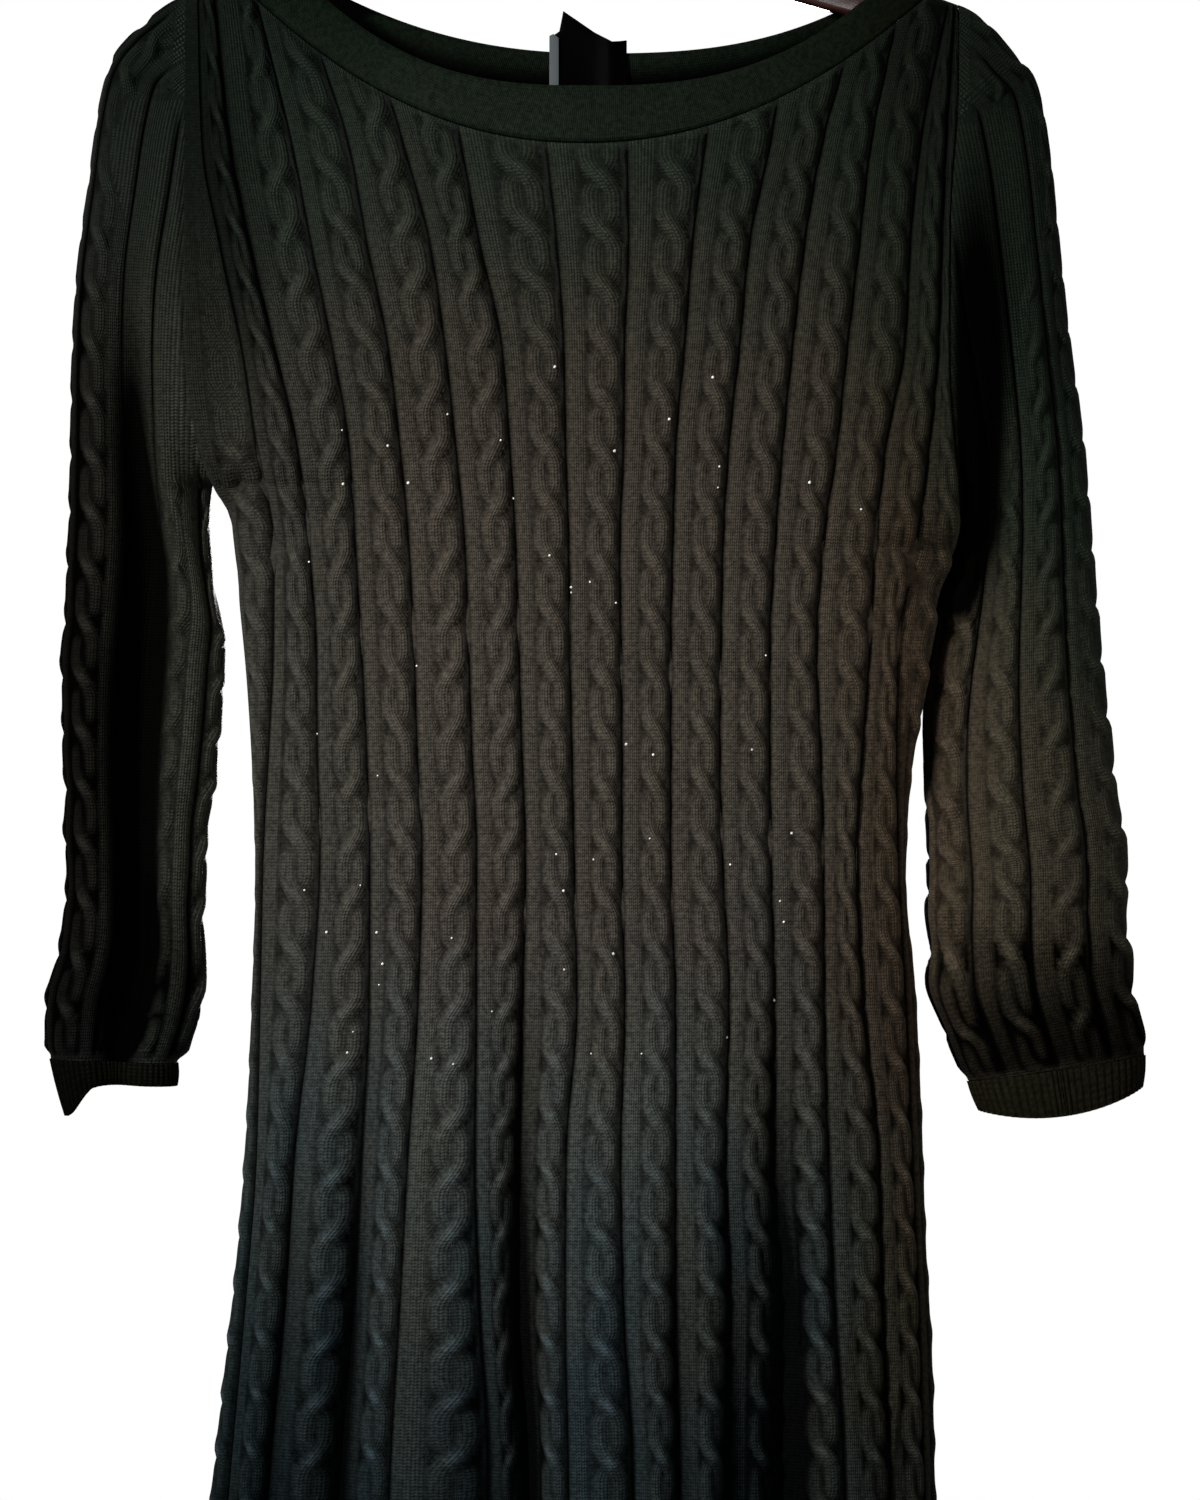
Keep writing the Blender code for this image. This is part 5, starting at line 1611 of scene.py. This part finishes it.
def make_woven(name, outline, y, thick, bend, material):
    bm = bmesh.new()
    corners = [bm.verts.new((x * MM, y * MM, z * MM)) for x, z in outline]
    bm.faces.new(corners)
    for axis in (0, 2):
        values = [corner[axis // 2] for corner in outline]
        for cut in np.arange(min(values) + CUT_EVERY, max(values), CUT_EVERY):
            place, normal = Vector(), Vector()
            place[axis], normal[axis] = cut * MM, 1.0
            geometry = [*bm.verts, *bm.edges, *bm.faces]
            bmesh.ops.bisect_plane(bm, geom=geometry, plane_co=place, plane_no=normal)
    for vertex in bm.verts:
        vertex.co.y -= bend(vertex.co.x / MM, vertex.co.z / MM) * MM
    pushed = bmesh.ops.extrude_face_region(bm, geom=list(bm.faces), use_keep_orig=True)
    moved = [g for g in pushed["geom"] if isinstance(g, bmesh.types.BMVert)]
    bmesh.ops.translate(bm, verts=moved, vec=(0.0, -thick * MM, 0.0))
    bm.normal_update()
    rim = [e for e in bm.edges if len(e.link_faces) == 2 and e.calc_face_angle(0) > RIM_ANGLE]
    size = thick * RIM_ROUND * MM
    bmesh.ops.bevel(bm, geom=rim, offset=size, segments=2, profile=0.5, affect="EDGES", material=-1)
    return finish_piece(bm, name, material)


label = make_woven("woven_label", LABEL_OUTLINE, LABEL_Y, LABEL_THICK, label_bend, label_satin)
tab = make_woven("woven_size_tab", TAB_OUTLINE, TAB_Y, TAB_THICK, tab_bend, tab_cloth)
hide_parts("neck_label")
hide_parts("size_tab")
for piece in (label, tab):
    print(piece.name, "faces:", len(piece.data.polygons))

# %% [markdown]
# ## Hanger
#
# The arms are one piece of wood, sawn to a gentle bow, rounded on top and at the tips, stained dark
# and varnished. The steel hook screws into its middle. The arms are rings of points laid along the
# bow, and the hook is one round ring swept along its centre line, smaller at the tip.

# %% Hanger arms
HANGER_HALF, HANGER_CLEAR, HANGER_THICK, HANGER_APEX = 190.0, 2.8, 10.0, 20.0
HANGER_HEIGHT, HANGER_TAPER, HANGER_TIP_ROUND = 31.5, 0.07, 12.0
HANGER_SECTIONS, ROUND_STEPS = 72, 10
TIP_LEAST, TIP_HEIGHT, TIP_THICKNESS = 0.02, 0.35, 0.45
FOOT_IN, FOOT_UP = (0.0, 0.6, 2.0), (3.0, 0.8, 0.0)


def hanger_top(x):
    bend = np.sqrt(x * x + HANGER_APEX**2)
    return SHOULDER_TOP - HANGER_CLEAR - SHOULDER_SLOPE * bend - HANG_TILT * x


def hanger_rings():
    """Sections of the arms: a half round on top, straight sides, and a foot with rounded corners."""
    x = HANGER_HALF * np.sin(np.linspace(-0.5, 0.5, HANGER_SECTIONS + 1) * math.pi)[:, None]
    tip = np.clip((HANGER_HALF - np.abs(x)) / HANGER_TIP_ROUND, 0.0, 1.0)
    full = np.sqrt(np.maximum(TIP_LEAST, 1.0 - (1.0 - tip) ** 2))
    high = (HANGER_HEIGHT - HANGER_TAPER * np.abs(x)) * mix(TIP_HEIGHT, 1.0, full)
    half = HANGER_THICK / 2 * mix(TIP_THICKNESS, 1.0, full)
    top = hanger_top(x) - HANGER_TIP_ROUND * (1.0 - full)
    lift = np.linspace(0.0, math.pi, ROUND_STEPS + 1)
    foot = half - np.array(FOOT_IN)
    foot_z = top - high + np.array([*FOOT_UP, *FOOT_UP[::-1]])
    y = np.concatenate([-half * np.cos(lift), foot, -foot[:, ::-1]], axis=1)
    z = np.concatenate([top - half + half * np.sin(lift), foot_z], axis=1)
    ring = np.stack([np.broadcast_to(x, y.shape), y, z], axis=-1)
    return np.concatenate([ring, ring[:, :1]], axis=1)


def close_tube(name, points, material):
    """A piece from rings of points, each ring's last point on its first, with both ends filled."""
    bm = bmesh.new()
    made, shape = lay_grid(bm, points)
    weld_seam(bm, made, shape)
    open_edges = [e for e in bm.edges if len(e.link_faces) == 1]
    bmesh.ops.holes_fill(bm, edges=open_edges, sides=0)
    return finish_piece(bm, name, material)


arms = close_tube("wooden_hanger_arms", hanger_rings(), mahogany)
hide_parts("hanger_arms")
print("faces of the arms:", len(arms.data.polygons))

# %% Hanger hook
WIRE, HOOK_INSIDE, HOOK_SIDES = 3.6, 19.0, 20
STEM_FOOT, STEM_HIGH = 12.0, 34.0
SWING_OUT, SWING_TOP, SWING_STEPS = 0.79, 0.62, 14
BOW_FROM, BOW_TO, BOW_STEPS = -38.0, 205.0, 64
TIP_SIZES = (0.97, 0.82, 0.45)


def hook_line():
    """The centre line of the hook: up the stem, out, and round over the rail."""
    radius, middle = HOOK_INSIDE + WIRE / 2, -HOOK_INSIDE
    foot = float(hanger_top(0.0)) + SEAM_GAP
    stem = [(0.0, foot), (0.0, foot + STEM_FOOT), (0.0, middle - STEM_HIGH)]
    rise = np.linspace(0.0, 1.0, SWING_STEPS)[1:-1]
    low, high = middle - STEM_HIGH, middle - radius * SWING_TOP
    swing = [(radius * SWING_OUT * float(ease(t)), mix(low, high, t)) for t in rise]
    turn = np.radians(np.linspace(BOW_FROM, BOW_TO, BOW_STEPS))
    bow = [(radius * math.cos(a), middle + radius * math.sin(a)) for a in turn]
    return np.array([*stem, *swing, *bow])


def sweep_wire(line):
    """Rings of points round the centre line, smaller at the tip."""
    run = np.gradient(line, axis=0)
    run = run / np.linalg.norm(run, axis=-1, keepdims=True)
    square = np.stack([-run[:, 1], run[:, 0]], axis=-1)
    size = np.full(len(line), WIRE / 2)
    size[-len(TIP_SIZES) :] *= TIP_SIZES
    angle = np.linspace(0.0, 2 * math.pi, HOOK_SIDES + 1)
    sideways = (size[:, None] * np.cos(angle))[..., None] * square[:, None, :]
    y = size[:, None] * np.sin(angle)
    return np.stack([line[:, None, 0] + sideways[..., 0], y, line[:, None, 1] + sideways[..., 1]], axis=-1)


hook = close_tube("steel_hanger_hook", sweep_wire(hook_line()), steel)
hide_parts("hanger_hook")
print("faces of the hook:", len(hook.data.polygons))

# %% [markdown]
# ## Pale specks on the knit
#
# Small pale specks lie on the cloth over the chest and the waist. Each is a tiny round ball of a few
# faces. They are scattered with a seeded random generator, so they fall in the same places on every
# run.

# %% Pale specks
SPECK_PLACES = [
    (-9.5, -342), (-115, -372), (-114.5, -399), (-132.5, -436.5), (-128.5, -521.5), (-105.5, -597.5),
    (-134.5, -599), (98.5, -653), (101, -605), (47, -367.5), (71, -390), (7, -446.5), (-63, -365),
    (-83, -399), (19, -383), (-31, -405), (141, -412), (76, -585.5), (-6, -600), (32, -680),
]
SPECKS_SCATTERED, SPECKS_ACROSS, SPECKS_DOWN = 34, (-130, 120), (-690, -345)
SPECK_RADIUS, SPECK_SUNK = (0.45, 0.85), 0.2
SEED = 11


def surface_spot(points, x, z):
    """The point of a fine sheet that lies nearest to a place in the front view."""
    flat = points.reshape(-1, 3)
    near = np.argmin((flat[:, 0] - x) ** 2 + (flat[:, 2] - z) ** 2)
    return flat[near]


def make_specks(points):
    chance = np.random.default_rng(SEED)
    across = chance.uniform(*SPECKS_ACROSS, SPECKS_SCATTERED)
    down = chance.uniform(*SPECKS_DOWN, SPECKS_SCATTERED)
    bm = bmesh.new()
    for x, z in [*SPECK_PLACES, *zip(across, down)]:
        spot = surface_spot(points, x, z)
        radius = chance.uniform(*SPECK_RADIUS)
        ball = bmesh.ops.create_icosphere(bm, subdivisions=1, radius=radius * MM)["verts"]
        centre = (spot[0] * MM, (spot[1] - SPECK_SUNK) * MM, spot[2] * MM)
        bmesh.ops.translate(bm, verts=ball, vec=centre)
    return finish_piece(bm, "pale_specks", speck_finish)


specks = make_specks(front_points)
print("neps:", len(SPECK_PLACES) + SPECKS_SCATTERED, "faces:", len(specks.data.polygons))

# %% [markdown]
# ## The floor
#
# The dress hangs well above a wide pale disc, which glows a little so that no dark edge shows under
# it. It is hidden from rays that carry its light to the cloth, and it isn't attached to the dress's body.

# %% Floor
FLOOR_Z, FLOOR_RADIUS, FLOOR_SEGMENTS = -1.45, 2.4, 96
FLOOR_WHITE = linear("#f2f1ee")
FLOOR_LOOK = {
    "Base Color": FLOOR_WHITE,
    "Roughness": 0.9,
    "Emission Color": FLOOR_WHITE,
    "Emission Strength": 0.55,
}
bm = bmesh.new()
bmesh.ops.create_circle(bm, cap_ends=True, segments=FLOOR_SEGMENTS, radius=FLOOR_RADIUS)
bmesh.ops.translate(bm, verts=bm.verts, vec=(0.0, 0.0, FLOOR_Z))
floor_mesh = bpy.data.meshes.new("studio_floor")
bm.to_mesh(floor_mesh)
bm.free()
floor_mesh.materials.append(new_material("pale_matte_floor", FLOOR_LOOK)[0])
floor = bpy.data.objects.new("studio_floor", floor_mesh)
bpy.context.scene.collection.objects.link(floor)
floor.visible_diffuse = False
floor.visible_glossy = False
print("floor height:", FLOOR_Z, "m")
